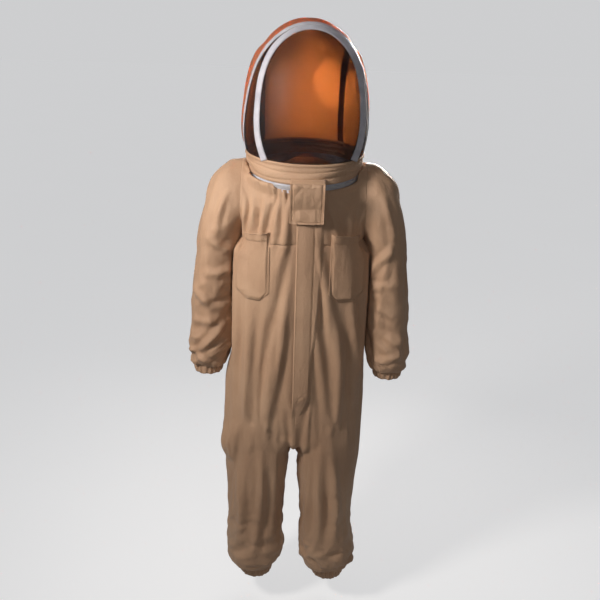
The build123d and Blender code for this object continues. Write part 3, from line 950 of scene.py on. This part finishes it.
# ---------------------------------------------------------------- hood
def dome_mesh():
    """The hood's outside as even triangles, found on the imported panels, in the hood's own unturned frame."""
    tree = tree_of([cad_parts[node] for _, node in NETS + BACKS], TURN.inverted())
    bm = bmesh.new()
    bmesh.ops.create_icosphere(bm, subdivisions=6, radius=1.0)
    for vert in bm.verts:
        vert.co = dome_point(tree, Vector((0, 0.005, 0.13)), vert.co.normalized())
    axes = {"use_axis_x": True, "use_axis_y": True, "use_axis_z": True}
    for _ in range(4):
        bmesh.ops.smooth_vert(bm, verts=bm.verts, factor=0.5, **axes)
    smooth_tree = BVHTree.FromBMesh(bm)
    slice_faces(bm, bm.faces[:], RIM_CENTRE - RIM_UP * 0.001, -RIM_UP, 0, clear=True)
    return bm, smooth_tree


def dome_point(tree, middle, toward):
    """Outermost place of the hood in a direction, past the narrow gaps between its panels."""
    best = None
    for nudge in (Vector((0, 0, 0)), Vector((0.0011, 0.0009, 0.0007)), Vector((-0.0011, 0.0009, -0.0007))):
        hit = tree.ray_cast(middle + toward * 0.6 + nudge, -toward)[0]
        if hit is not None and (hit - middle).dot(toward) > 0.05:
            reach = (hit - middle).dot(toward)
            best = reach if best is None else max(best, reach)
    if best is None:
        best = 1 / math.hypot(toward.x / 0.1525, toward.y / 0.137) if abs(toward.z) < 0.99 else 0.2
        best = min(best, 0.25)
    return middle + toward * best


def hoop_plane(hoop):
    """A hoop's plane: a point on it and its normal, which points forwards."""
    rise = Vector((0, hoop[1] - hoop[0], HOOP_TOP_Z - HOOP_FOOT_Z)).normalized()
    return Vector((0, hoop[0], HOOP_FOOT_Z)), Vector((0, -rise.z, rise.y))


def hoop_path(tree, hoop, count=220):
    """Points on the dome along a hoop, from its right foot over to its left, and its forward direction."""
    place, forward = hoop_plane(hoop)
    up = Vector((0, hoop[1] - hoop[0], HOOP_TOP_Z - HOOP_FOOT_Z)).normalized()
    line = []
    for a in np.linspace(-2.55, 2.55, count):
        p = dome_point(tree, place + up * 0.12, Vector((math.sin(a), 0, 0)) + up * math.cos(a))
        if (p - RIM_CENTRE).dot(RIM_UP) > 0.0075:
            line.append(p)
    line = np.array(line)
    for _ in range(6):
        line[1:-1] = (line[:-2] + 2 * line[1:-1] + line[2:]) / 4
    return line, np.array(forward)


def binding_tube(name, tree, hoop, wide, seed, face_front):
    """Bias tape folded round a hoop wire: a flat rounded tube on the dome, its sides turned forwards."""
    line, forward = hoop_path(tree, hoop)
    along = np.gradient(line, axis=0)
    along /= np.linalg.norm(along, axis=1)[:, None]
    points = []
    shape = [
        (-0.5, -0.0), (-0.47, 0.55), (-0.38, 0.85), (-0.2, 1.0), (0.0, 1.05), (0.2, 1.0), (0.38, 0.85),
        (0.47, 0.55), (0.5, 0.0), (0.44, -0.8), (0.25, -2.1), (0.0, -2.8), (-0.25, -2.1), (-0.44, -0.8),
    ]
    phase = np.random.default_rng(seed).uniform(0, 6.28, 3)
    for i, (p, t) in enumerate(zip(line, along)):
        normal = np.array(tree.find_nearest(Vector(p))[1])
        if normal @ (p - np.array((0, 0.005, 0.1))) < 0:
            normal = -normal
        normal -= t * (normal @ t)
        normal /= np.linalg.norm(normal)
        side = np.cross(t, normal)
        if side @ forward < 0:
            side = -side
        lean = face_front[int(p[0] > 0)] * ease(0.02, 0.11, abs(p[0]))
        c, s = math.cos(lean), math.sin(lean)
        side, normal = side * c - normal * s, normal * c + side * s
        p = p + normal * 0.007 * s
        run = i / len(line) * 40
        pucker = 0.00022 * math.sin(run * 5.1 + phase[0]) + 0.00018 * math.sin(run * 8.7 + phase[1])
        for a, b in shape:
            lift = (0.0017 + (pucker if b > 0 else 0)) * b
            points.append(p + side * a * wide + normal * lift)
    obj = new_object(name, points, tube_faces(len(line), len(shape)))
    outwards(obj)
    ring = np.array(points).reshape(len(line), len(shape), 3)[4:-4]
    outward = ring[:, 4] - ring[:, 11]
    outward /= np.linalg.norm(outward, axis=1)[:, None]
    return obj, [(ring[:, k] + outward * 0.0002, outward) for k in (2, 6)]


def hood_folds(p):
    """Soft vertical waves of the hood's back panels, which only stand out."""
    wave = 0.5 + 0.5 * ridges(p, (13, 13, 3), 151)
    small = 0.5 + 0.5 * ridges(p, (30, 30, 12), 161)
    return (0.006 * wave + 0.0018 * small) * ease(0.345, 0.27, p[:, 2])


def make_hood():
    """The hood's panels, its bindings and their stitching."""
    bm, tree = dome_mesh()
    planes = [hoop_plane(FRONT_HOOP), hoop_plane(REAR_HOOP)]
    for place, normal in planes:
        slice_faces(bm, bm.faces[:], place, normal)
    for x in (-BACK_SEAM_X, 0.0, BACK_SEAM_X):
        slice_faces(bm, [f for f in bm.faces if x or f.calc_center_median().y < -0.02], (x, 0, 0), (1, 0, 0))

    def key(face):
        c = face.calc_center_median()
        before_front, before_rear = [(c - place).dot(normal) > 0 for place, normal in planes]
        if before_front:
            return "front_net"
        if before_rear:
            return "left_side_net" if c.x > 0 else "right_side_net"
        if abs(c.x) < BACK_SEAM_X:
            return "hood_back_cloth"
        return "hood_left_cloth" if c.x > 0 else "hood_right_cloth"

    pieces = split(bm, key)
    for name, obj in pieces.items():
        points = get_points(obj)
        net = name.endswith("net")
        if net:
            sag = gradient_noise(points * 9, 171) * 0.0016
            height = np.minimum(sag - 0.0006, 0.0) * 1.5
        else:
            seam = np.minimum(np.abs(np.abs(points[:, 0]) - BACK_SEAM_X), 0.02) / 0.02
            height = hood_folds(points) * (0.1 + 0.9 * ease(0, 1, seam))
        height = height * ease(0.006, 0.03, (points - np.array(RIM_CENTRE)) @ np.array(RIM_UP))
        for place, normal in planes:
            height = height * ease(0.004, 0.02, np.abs((points - np.array(place)) @ np.array(normal)))
        set_points(obj, points + get_normals(obj) * height[:, None])
        layer = obj.data.uv_layers.new(name="weave")
        index = np.zeros(len(obj.data.loops), int)
        obj.data.loops.foreach_get("vertex_index", index)
        forwards = points[:, 1] - 0.005 if "back" in name else -(points[:, 1] - 0.005)
        turn = np.arctan2(points[:, 0], forwards)
        uv = np.stack([turn * 0.155, points[:, 2]], axis=1)[index]
        layer.data.foreach_set("uv", uv.ravel())
        thicken(obj, 0.0006 if net else CLOTH_THICK)
    front_tape, front_rows = binding_tube("front_binding", tree, FRONT_HOOP, 0.0205, 5, (0.12, 0.42))
    rear_tape, rear_rows = binding_tube("rear_binding", tree, REAR_HOOP, 0.015, 6, (0.0, 0.0))
    tape_thread = stitching("binding_stitching", front_rows + rear_rows)
    for obj in list(pieces.values()) + [front_tape, rear_tape, tape_thread]:
        obj.data.transform(TURN)
    return pieces, front_tape, rear_tape, tape_thread


def make_ledge(band):
    """The strip of cloth that runs out from the band to the throat flap's top edge."""
    x = np.linspace(FLAP_X[0], FLAP_X[1], 30)
    start = front_y(band, x, np.full(len(x), LEDGE_Z)) + 0.002
    points = []
    for t in np.linspace(0, 1, 9):
        y = start + (FLAP_TOP[0] - 0.0004 - start) * t
        z = LEDGE_Z + (FLAP_TOP[1] + 0.001 - LEDGE_Z) * t ** 1.6
        points += list(zip(x, y, np.full(len(x), z)))
    obj = new_object("ledge", points, grid_faces(9, len(x), False, flip=True))
    thicken(obj, 0.0014)
    return obj


def make_band():
    """The hood's cloth band, from the zip up to the veil, with a rolled top edge and slack folds."""
    count, levels = 240, 26
    around = np.arange(count) * 2 * math.pi / count
    c, s = np.cos(around), np.sin(around)
    low = np.array([RING @ Vector((0.1452 * a, 0.1452 * b, 0.0068)) for a, b in zip(c, s)])
    tilt = Matrix.Rotation(RIM_TILT, 3, "X")
    high = [TURN @ (RIM_CENTRE + tilt @ Vector((0.1535 * a, 0.1378 * b, 0.0105))) for a, b in zip(c, s)]
    high = np.array(high)
    out = np.stack([c, s, np.zeros(count)], axis=1)
    rows = []
    front = ease(-0.2, -0.8, s)
    for t in np.linspace(0, 1, levels):
        puff = 0.0036 * math.sin(math.pi * t) ** 0.7
        slack = 0.0016 * np.sin(3 * around + 5 * t + 0.6) + 0.001 * np.sin(7 * around - 4 * t)
        first = 0.3 + 0.16 * np.sin(around + 1.2) * front
        second = 0.66 + 0.1 * np.cos(2 * around + 0.5)
        dent = 0.003 * bell(t - first, 0.055) + 0.0026 * bell(t - second, 0.05)
        lip = 0.003 * bell(t - 0.93, 0.07)
        height = puff + lip + (slack - dent) * math.sin(math.pi * t)
        rows.append(low + (high - low) * t + out * height[:, None])
    back_in = rows[-1] - out * 0.0042 + (0, 0, -0.0005)
    rows.append((rows[-1] + back_in) / 2 + (0, 0, 0.0016))
    rows.append(back_in)
    rows.append(back_in + (0, 0, -0.008))
    obj = new_object("hood_band_cloth", np.concatenate(rows), grid_faces(len(rows), count))
    subdivide(obj)
    thicken(obj, 0.0009)
    obj = join("hood_band_cloth", [obj, make_ledge(tree_of([obj]))])
    out = np.concatenate([out, out[:1]])
    loops = [np.concatenate([rows[level], rows[level][:1]]) for level in (1, 22)]
    return obj, stitching("band_stitching", [(loop + out * 0.0003, out) for loop in loops])


# ---------------------------------------------------------------- materials
def feed(socket, value):
    """Give a socket its value: another node's output, a number, or a colour without its alpha."""
    if isinstance(value, bpy.types.NodeSocket):
        socket.id_data.links.new(value, socket)
    elif socket.type == "RGBA":
        socket.default_value = (*value, 1)
    else:
        socket.default_value = value


def add(tree, kind, output, inputs, **settings):
    """A new node's output. Its inputs go by name or number."""
    node = tree.nodes.new("ShaderNode" + kind)
    for key, value in settings.items():
        setattr(node, key, value)
    for key, value in inputs.items():
        feed(node.inputs[key], value)
    return node.outputs[output]


def new_material(name):
    """A material, its tree and its place output."""
    material = bpy.data.materials.new(name)
    material.use_nodes = True
    return material, material.node_tree, add(material.node_tree, "TexCoord", "Object", {})


def shade(material, inputs):
    shader = material.node_tree.nodes["Principled BSDF"]
    for key, value in inputs.items():
        feed(shader.inputs[key], value)
    return material


def noise(tree, where, scale, detail=2.0, rough=0.5):
    inputs = {"Vector": where, "Scale": scale, "Detail": detail, "Roughness": rough}
    return add(tree, "TexNoise", "Fac", inputs)


def scaled(tree, where, scale, turn=(0, 0, 0)):
    return add(tree, "Mapping", "Vector", {"Vector": where, "Scale": scale, "Rotation": turn})


def ramp(tree, fac, stops):
    output = add(tree, "ValToRGB", "Color", {"Fac": fac})
    elements = output.node.color_ramp.elements
    for element, (at, colour) in zip((elements[0], elements[1]), (stops[0], stops[-1])):
        element.position, element.color = at, (*colour, 1)
    for at, colour in stops[1:-1]:
        elements.new(at).color = (*colour, 1)
    return output


def calc(tree, operation, *inputs):
    """A math node's value."""
    return add(tree, "Math", "Value", dict(enumerate(inputs)), operation=operation)


def bump(tree, layers):
    """Bumps one on the other, each a (height, distance in metres)."""
    normal = {}
    for height, distance in layers:
        inputs = {"Strength": 1.0, "Distance": distance, "Height": height, **normal}
        normal = {"Normal": add(tree, "Bump", "Normal", inputs)}
    return normal["Normal"]


def wave(tree, where, axis, scale):
    inputs = {"Vector": where, "Scale": scale, "Detail": 0.0}
    return add(tree, "TexWave", "Fac", inputs, wave_type="BANDS", bands_direction=axis)


def twill(tree, where, threads):
    """Height of a twill weave: fine slanting ribs crossed by threads."""
    ribs = wave(tree, scaled(tree, where, (1, 1, 1), (0.35, 0.55, 0.25)), "Z", threads)
    across = wave(tree, where, "Z", threads * 1.6)
    return calc(tree, "MULTIPLY", ribs, calc(tree, "ADD", across, 0.6))


def cloth_material(name, glow=0.0):
    """Polycotton twill: uneven dyed colour, fine weave, small creases and a soft satin sheen."""
    material, tree, where = new_material(name)
    beiges = [(0.3, (0.455, 0.275, 0.17)), (0.52, (0.52, 0.325, 0.205)), (0.75, (0.585, 0.385, 0.25))]
    tone = ramp(tree, noise(tree, where, 4.5, 3), beiges)
    threads = noise(tree, scaled(tree, where, (900, 900, 260)), 1.0, 1)
    flecks = ramp(tree, threads, [(0.25, (0.9, 0.89, 0.88)), (0.75, (1.0, 1.0, 1.0))])
    crumple = noise(tree, scaled(tree, where, (1, 1, 0.45)), 34, 4, 0.55)
    pucker = noise(tree, where, 120, 2)
    multiply = {"data_type": "RGBA", "blend_type": "MULTIPLY"}
    if glow:
        thin = add(tree, "BsdfTranslucent", "BSDF", {"Color": (1.0, 0.52, 0.24)})
        thick = tree.nodes["Principled BSDF"].outputs["BSDF"]
        both = add(tree, "MixShader", "Shader", {0: glow, 1: thick, 2: thin})
        feed(tree.nodes["Material Output"].inputs["Surface"], both)
    return shade(material, {
        "Base Color": add(tree, "Mix", 2, {0: 1.0, 6: tone, 7: flecks}, **multiply),
        "Roughness": calc(tree, "MULTIPLY_ADD", noise(tree, where, 22, 3), 0.22, 0.44),
        "Specular IOR Level": 0.38,
        "Sheen Weight": 0.18,
        "Sheen Roughness": 0.45,
        "Sheen Tint": (1.0, 0.9, 0.78),
        "Normal": bump(tree, [(crumple, 0.0032), (pucker, 0.0005), (twill(tree, where, 620), 0.00009)]),
    })


def tape_material(name, dark, light, scale=420):
    """Woven cotton tape with ribs across and slightly uneven colour."""
    material, tree, where = new_material(name)
    ribs = wave(tree, scaled(tree, where, (1, 1, 1), (0.5, 0.4, 0.3)), "DIAGONAL", scale)
    return shade(material, {
        "Base Color": ramp(tree, noise(tree, where, 26, 3), [(0.3, dark), (0.7, light)]),
        "Roughness": calc(tree, "MULTIPLY_ADD", noise(tree, where, 60, 2), 0.2, 0.55),
        "Sheen Weight": 0.15,
        "Normal": bump(tree, [(noise(tree, where, 70, 3), 0.0008), (ribs, 0.00015)]),
    })


def net_material(name):
    """Black knitted netting: threads in two directions with open holes between them."""
    material, tree, _ = new_material(name)
    weave = add(tree, "UVMap", "UV", {}, uv_map="weave")
    apart = add(tree, "SeparateXYZ", "X", {"Vector": weave}).node.outputs
    threads = []
    for axis in ("X", "Y"):
        saw = calc(tree, "FRACT", calc(tree, "MULTIPLY", apart[axis], 1 / 0.0017))
        far = calc(tree, "ABSOLUTE", calc(tree, "SUBTRACT", saw, 0.5))
        threads.append(calc(tree, "GREATER_THAN", far, 0.305))
    blacks = [(0.3, (0.006, 0.006, 0.007)), (0.7, (0.016, 0.015, 0.017))]
    return shade(material, {
        "Alpha": calc(tree, "MAXIMUM", *threads),
        "Base Color": ramp(tree, noise(tree, weave, 40, 2), blacks),
        "Roughness": 0.5,
        "Specular IOR Level": 0.22,
    })


def hard_material(name, dark, light, rough, metal):
    """Wire or metal with fine scratches and uneven gloss."""
    material, tree, where = new_material(name)
    lines = noise(tree, scaled(tree, where, (240, 240, 30)), 1.0, 2)
    return shade(material, {
        "Base Color": ramp(tree, noise(tree, where, 90, 3), [(0.3, dark), (0.7, light)]),
        "Roughness": calc(tree, "MULTIPLY_ADD", lines, 0.25, rough),
        "Metallic": metal,
        "Normal": bump(tree, [(lines, 0.00008)]),
    })


def field_material(name, height, stops, rough, deep):
    """A field of small teeth or bristles: colours by its height, and its bump. On the zip's teeth the low gaps
    between the teeth come out darker, which is painted shade.
    """
    material, tree, where = new_material(name)
    height = height(tree, where)
    bumps = bump(tree, [(height, deep)])
    return shade(material, {"Base Color": ramp(tree, height, stops), "Roughness": rough, "Normal": bumps})


def teeth(tree, where):
    """Moulded zip teeth across the tape's direction."""
    return wave(tree, where, "Z", 105)


def bristles(tree, where):
    """The dense small bristles of hook-and-loop tape."""
    return add(tree, "TexVoronoi", "Distance", {"Vector": where, "Scale": 900})


def dress(obj, material):
    obj.data.materials.clear()
    obj.data.materials.append(material)


# ---------------------------------------------------------------- making everything
def add_camera():
    camera = bpy.data.objects.new("camera", bpy.data.cameras.new("camera"))
    bpy.context.collection.objects.link(camera)
    camera.data.lens = 42.8
    camera.data.sensor_width = 36.0
    camera.data.clip_end = 200
    pitch, roll = math.radians(90 - 19.55), math.radians(1.9)
    turn = Matrix.Rotation(pitch, 4, "X") @ Matrix.Rotation(roll, 4, "Z")
    camera.matrix_world = Matrix.Translation((0, -1.9, 0.281)) @ turn
    bpy.context.scene.camera = camera


# each lamp: where it is and what it faces, its size, power, spread in degrees and colour
LAMPS = {
    "key": ((-1.02, -0.84, 0.46), (-0.08, -0.1, -0.18), 0.32, 9.0, 115, (1.0, 0.955, 0.905)),
    "fill": ((0.4, -2.6, 0.5), (0.0, 0.0, -0.3), 1.6, 4.5, 180, (1.0, 0.96, 0.92)),
    "top": ((-0.9, 0.2, 2.6), (0.0, 0.0, -0.4), 1.5, 4, 180, (1.0, 1.0, 1.0)),
    "behind": ((0.45, 1.45, 0.2), (0.0, 0.05, -0.3), 1.0, 6.5, 150, (1.0, 0.96, 0.91)),
    "hood_back": ((0.5, 1.15, 0.45), (0.05, 0.08, 0.17), 0.3, 2.6, 28, (1.0, 0.96, 0.91)),
}
PALE = (0.96, 0.965, 0.98)      # what the camera sees of the floor's own light and of the surroundings
STAGE_REACH = 60


def add_stage():
    """A plain pale floor and surroundings, and soft light from the front left."""
    corners = [(x * STAGE_REACH, y * STAGE_REACH, SOLE_Z) for x, y in ((-1, -1), (1, -1), (1, 1), (-1, 1))]
    floor = new_object("floor", corners, [(0, 1, 2, 3)])
    material, tree, where = new_material("floor")
    seen = add(tree, "LightPath", "Is Camera Ray", {})
    greys = [(0.3, (0.49, 0.49, 0.49)), (0.7, (0.51, 0.51, 0.51))]
    dress(floor, shade(material, {
        "Base Color": ramp(tree, noise(tree, where, 1.2, 2), greys),
        "Emission Color": PALE,
        "Emission Strength": calc(tree, "MULTIPLY", seen, 0.56),
        "Roughness": 0.9,
        "Specular IOR Level": 0.05,
    }))
    world = bpy.data.worlds.new("world")
    world.use_nodes = True
    tree = world.node_tree
    seen = add(tree, "LightPath", "Is Camera Ray", {})
    feed(tree.nodes["Background"].inputs["Color"], PALE)
    feed(tree.nodes["Background"].inputs["Strength"], calc(tree, "MULTIPLY_ADD", seen, 0.48, 0.16))
    bpy.context.scene.world = world
    bpy.context.scene.view_settings.view_transform = "Standard"
    for name, (spot, aim, size, power, spread, colour) in LAMPS.items():
        lamp = bpy.data.lights.new(name, "AREA")
        lamp.shape = "DISK"
        lamp.size = size
        lamp.energy = power
        lamp.color = colour
        lamp.spread = math.radians(spread)
        obj = bpy.data.objects.new(name, lamp)
        bpy.context.collection.objects.link(obj)
        obj.location = spot
        obj.rotation_mode = "QUATERNION"
        obj.rotation_quaternion = (Vector(aim) - Vector(spot)).to_track_quat("-Z", "Y")


def make_materials():
    """All the finishes by name: the record's own slots, the hood's thin cloth and the threads."""
    # the zip teeth's greys follow their height: darker down in the gaps between the teeth, which is painted
    # shade
    teeth_greys_painted_gap_shade = [(0.2, (0.35, 0.34, 0.36)), (0.6, (0.62, 0.61, 0.63))]
    bristle_browns = [(0.1, (0.42, 0.31, 0.21)), (0.6, (0.2, 0.14, 0.09))]
    finishes = {
        "cloth": (cloth_material,),
        "hood_cloth": (cloth_material, 0.66),
        "veil": (net_material,),
        "binding": (tape_material, (0.43, 0.42, 0.47), (0.6, 0.59, 0.64)),
        "seam_tape": (tape_material, (0.1, 0.03, 0.016), (0.16, 0.05, 0.028)),
        "elastic": (tape_material, (0.45, 0.36, 0.27), (0.6, 0.5, 0.4), 600),
        "zip_plastic": (field_material, teeth, teeth_greys_painted_gap_shade, 0.35, 0.0012),
        "hoop_wire": (hard_material, (0.3, 0.3, 0.32), (0.42, 0.42, 0.44), 0.25, 0.6),
        "slider_metal": (hard_material, (0.48, 0.48, 0.5), (0.62, 0.62, 0.64), 0.22, 1.0),
        "hook_and_loop": (field_material, bristles, bristle_browns, 0.8, 0.0008),
        "thread": (tape_material, (0.33, 0.19, 0.1), (0.45, 0.28, 0.16), 900),
        "white_thread": (tape_material, (0.52, 0.51, 0.55), (0.7, 0.69, 0.72), 900),
    }
    return {name: make(name, *rest) for name, (make, *rest) in finishes.items()}


def place(obj, name, material="cloth", slot="cloth", body="trunk", replaced=()):
    """Name, finish and fix one piece. A piece that is blended over a joint has no body here."""
    obj.name = name
    dress(obj, finish[material])
    smooth_faces(obj)
    if body:
        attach(obj, body)
    if replaced:
        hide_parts(*replaced)


def place_blended(obj, name, replaced):
    """Fix a piece that runs over the joint between the trunk and a limb."""
    thicken(obj)
    place(obj, name, body=None, replaced=replaced)
    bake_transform(obj)


add_camera()
add_stage()
finish = make_materials()
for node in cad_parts.values():
    dress(node, finish[node.material_slots[0].material.name])

# the overall's panels
overall = make_overall()
seam_groove(overall)
sleeves = {}
for side, sign in (("right", -1), ("left", 1)):
    sleeves[side] = make_sleeve(sign)
    fit_armhole(sleeves[side], overall, sign)
    lift_shoulders(sleeves[side])
lift_shoulders(overall)
fit_neck(overall)
panels = cut_panels(overall)
surface = tree_of(list(panels.values()))
trunk_rows = []
for side, sign, seed, edge in (("right", -1, 201, -0.0375), ("left", 1, 241, 0.042)):
    pocket, rows = make_pocket(side + "_pocket_cloth", surface, sign, seed)
    place(pocket, side + "_pocket_cloth", replaced=[side + "_chest_pocket"])
    under_seam = YOKE_Z - 0.005
    trunk_rows += rows + facing_rows(surface, [(edge, under_seam), (sign * 0.074, under_seam)])
placket, rows = make_placket(surface)
place(placket, "placket_cloth", replaced=["front_placket"])
place(stitching("front_stitching", trunk_rows + rows), "front_stitching", "thread")

# each side's lower panels, yoke, sleeve, cuff and ankle hem
for side, sign, left in (("right", -1, False), ("left", 1, True)):
    for front, end in ((True, "front"), (False, "back")):
        stands_for = [f"{side}_{end}_panel", f"{side}_leg_{end}"]
        if front and left:
            stands_for.append("crotch_gusset")
        panel = panels[(left, front, False)]
        place_blended(panel, f"{side}_{end}_cloth", stands_for)
    yoke = panels[(left, True, True)]
    thicken(yoke)
    place(yoke, side + "_yoke_cloth", replaced=[side + "_front_yoke"])
    place_blended(sleeves[side], side + "_sleeve_cloth", [side + "_sleeve"])
    cuff = gathered_casing("cuff", sign * CUFF_X, 0.0384, -0.5835, -0.615, 19, 0.4 + sign)
    place(cuff, side + "_cuff_cloth", body=side + "_sleeve", replaced=[side + "_cuff_casing"])
    hem = gathered_casing("hem", sign * HEM_X, 0.0484, -1.2835, -1.319, 23, 1.4 + sign)
    place(hem, side + "_ankle_cloth", body=side + "_leg", replaced=[side + "_ankle_casing"])
back = panels[(False, False, True)]
thicken(back)
place(back, "back_yoke_cloth", replaced=["back_yoke"])

# the hood
flap, rows = make_flap()
place(flap, "throat_flap_cloth", body="throat_flap", replaced=["throat_flap"])
place(stitching("flap_stitching", rows), "flap_stitching", "thread", body="throat_flap")
band, band_thread = make_band()
place(band, "hood_band_cloth", body="hood", replaced=["hood_band"])
place(band_thread, "band_stitching", "thread", body="hood")
hood, front_tape, rear_tape, tape_thread = make_hood()
for name, node in NETS:
    place(hood[name], name, "veil", "veil", "hood", [node])
for name, node in BACKS:
    place(hood[name], name, "hood_cloth", body="hood", replaced=[node])
place(front_tape, "front_binding", "binding", "binding", "hood", ["front_hoop_tape"])
place(rear_tape, "rear_binding", "binding", "binding", "hood", ["rear_hoop_tape"])
place(tape_thread, "binding_stitching", "white_thread", "binding", "hood")

# each piece of cloth: the width, length and area it is cut to, how and by what it is held,
# and what is sewn on it
SHEETS = {
    "hood_band_cloth": (0.93, 0.068, None, "stretched", ["hood_zip_tape"], ["band_stitching"]),
    "throat_flap_cloth": (0.095, 0.125, None, "hung", ["hood_band_cloth"], ["flap_stitching"]),
    "placket_cloth": (0.085, 0.61, None, "hung", ["left_front_cloth"], ["front_stitching"]),
    "back_yoke_cloth": (0.44, 0.22, 0.072, "hung", ["collar_zip_tape"], []),
    "front_net": (0.34, 0.36, 0.095, "stretched", ["front_binding"], ["front_binding", "binding_stitching"]),
    "hood_back_cloth": (0.32, 0.44, 0.112, "stretched", ["rear_binding"], ["rear_binding"]),
}
for side in ("right", "left"):
    front, yoke, sleeve = (f"{side}_{part}_cloth" for part in ("front", "yoke", "sleeve"))
    SHEETS[front] = (0.36, 1.14, 0.32, "hung", [yoke], [])
    SHEETS[side + "_back_cloth"] = (0.36, 1.14, 0.32, "hung", ["back_yoke_cloth"], [])
    SHEETS[yoke] = (0.26, 0.26, 0.055, "hung", ["collar_zip_tape"], [])
    SHEETS[sleeve] = (0.46, 0.58, 0.225, "hung", [yoke], [])
    SHEETS[side + "_cuff_cloth"] = (0.33, 0.033, None, "gathered", [sleeve], [])
    SHEETS[side + "_ankle_cloth"] = (0.42, 0.036, None, "gathered", [side + "_back_cloth"], [])
    SHEETS[side + "_pocket_cloth"] = (0.11, 0.215, 0.0225, "hung", [front], [])
    SHEETS[side + "_side_net"] = (0.14, 0.36, 0.026, "stretched", ["front_binding", "rear_binding"], [])
    SHEETS[f"hood_{side}_cloth"] = (0.17, 0.34, 0.04, "stretched", ["hood_back_cloth"], [])
for name, (wide, long, area, held, on, sewn) in SHEETS.items():
    sewn = [bpy.data.objects[other] for other in sewn]
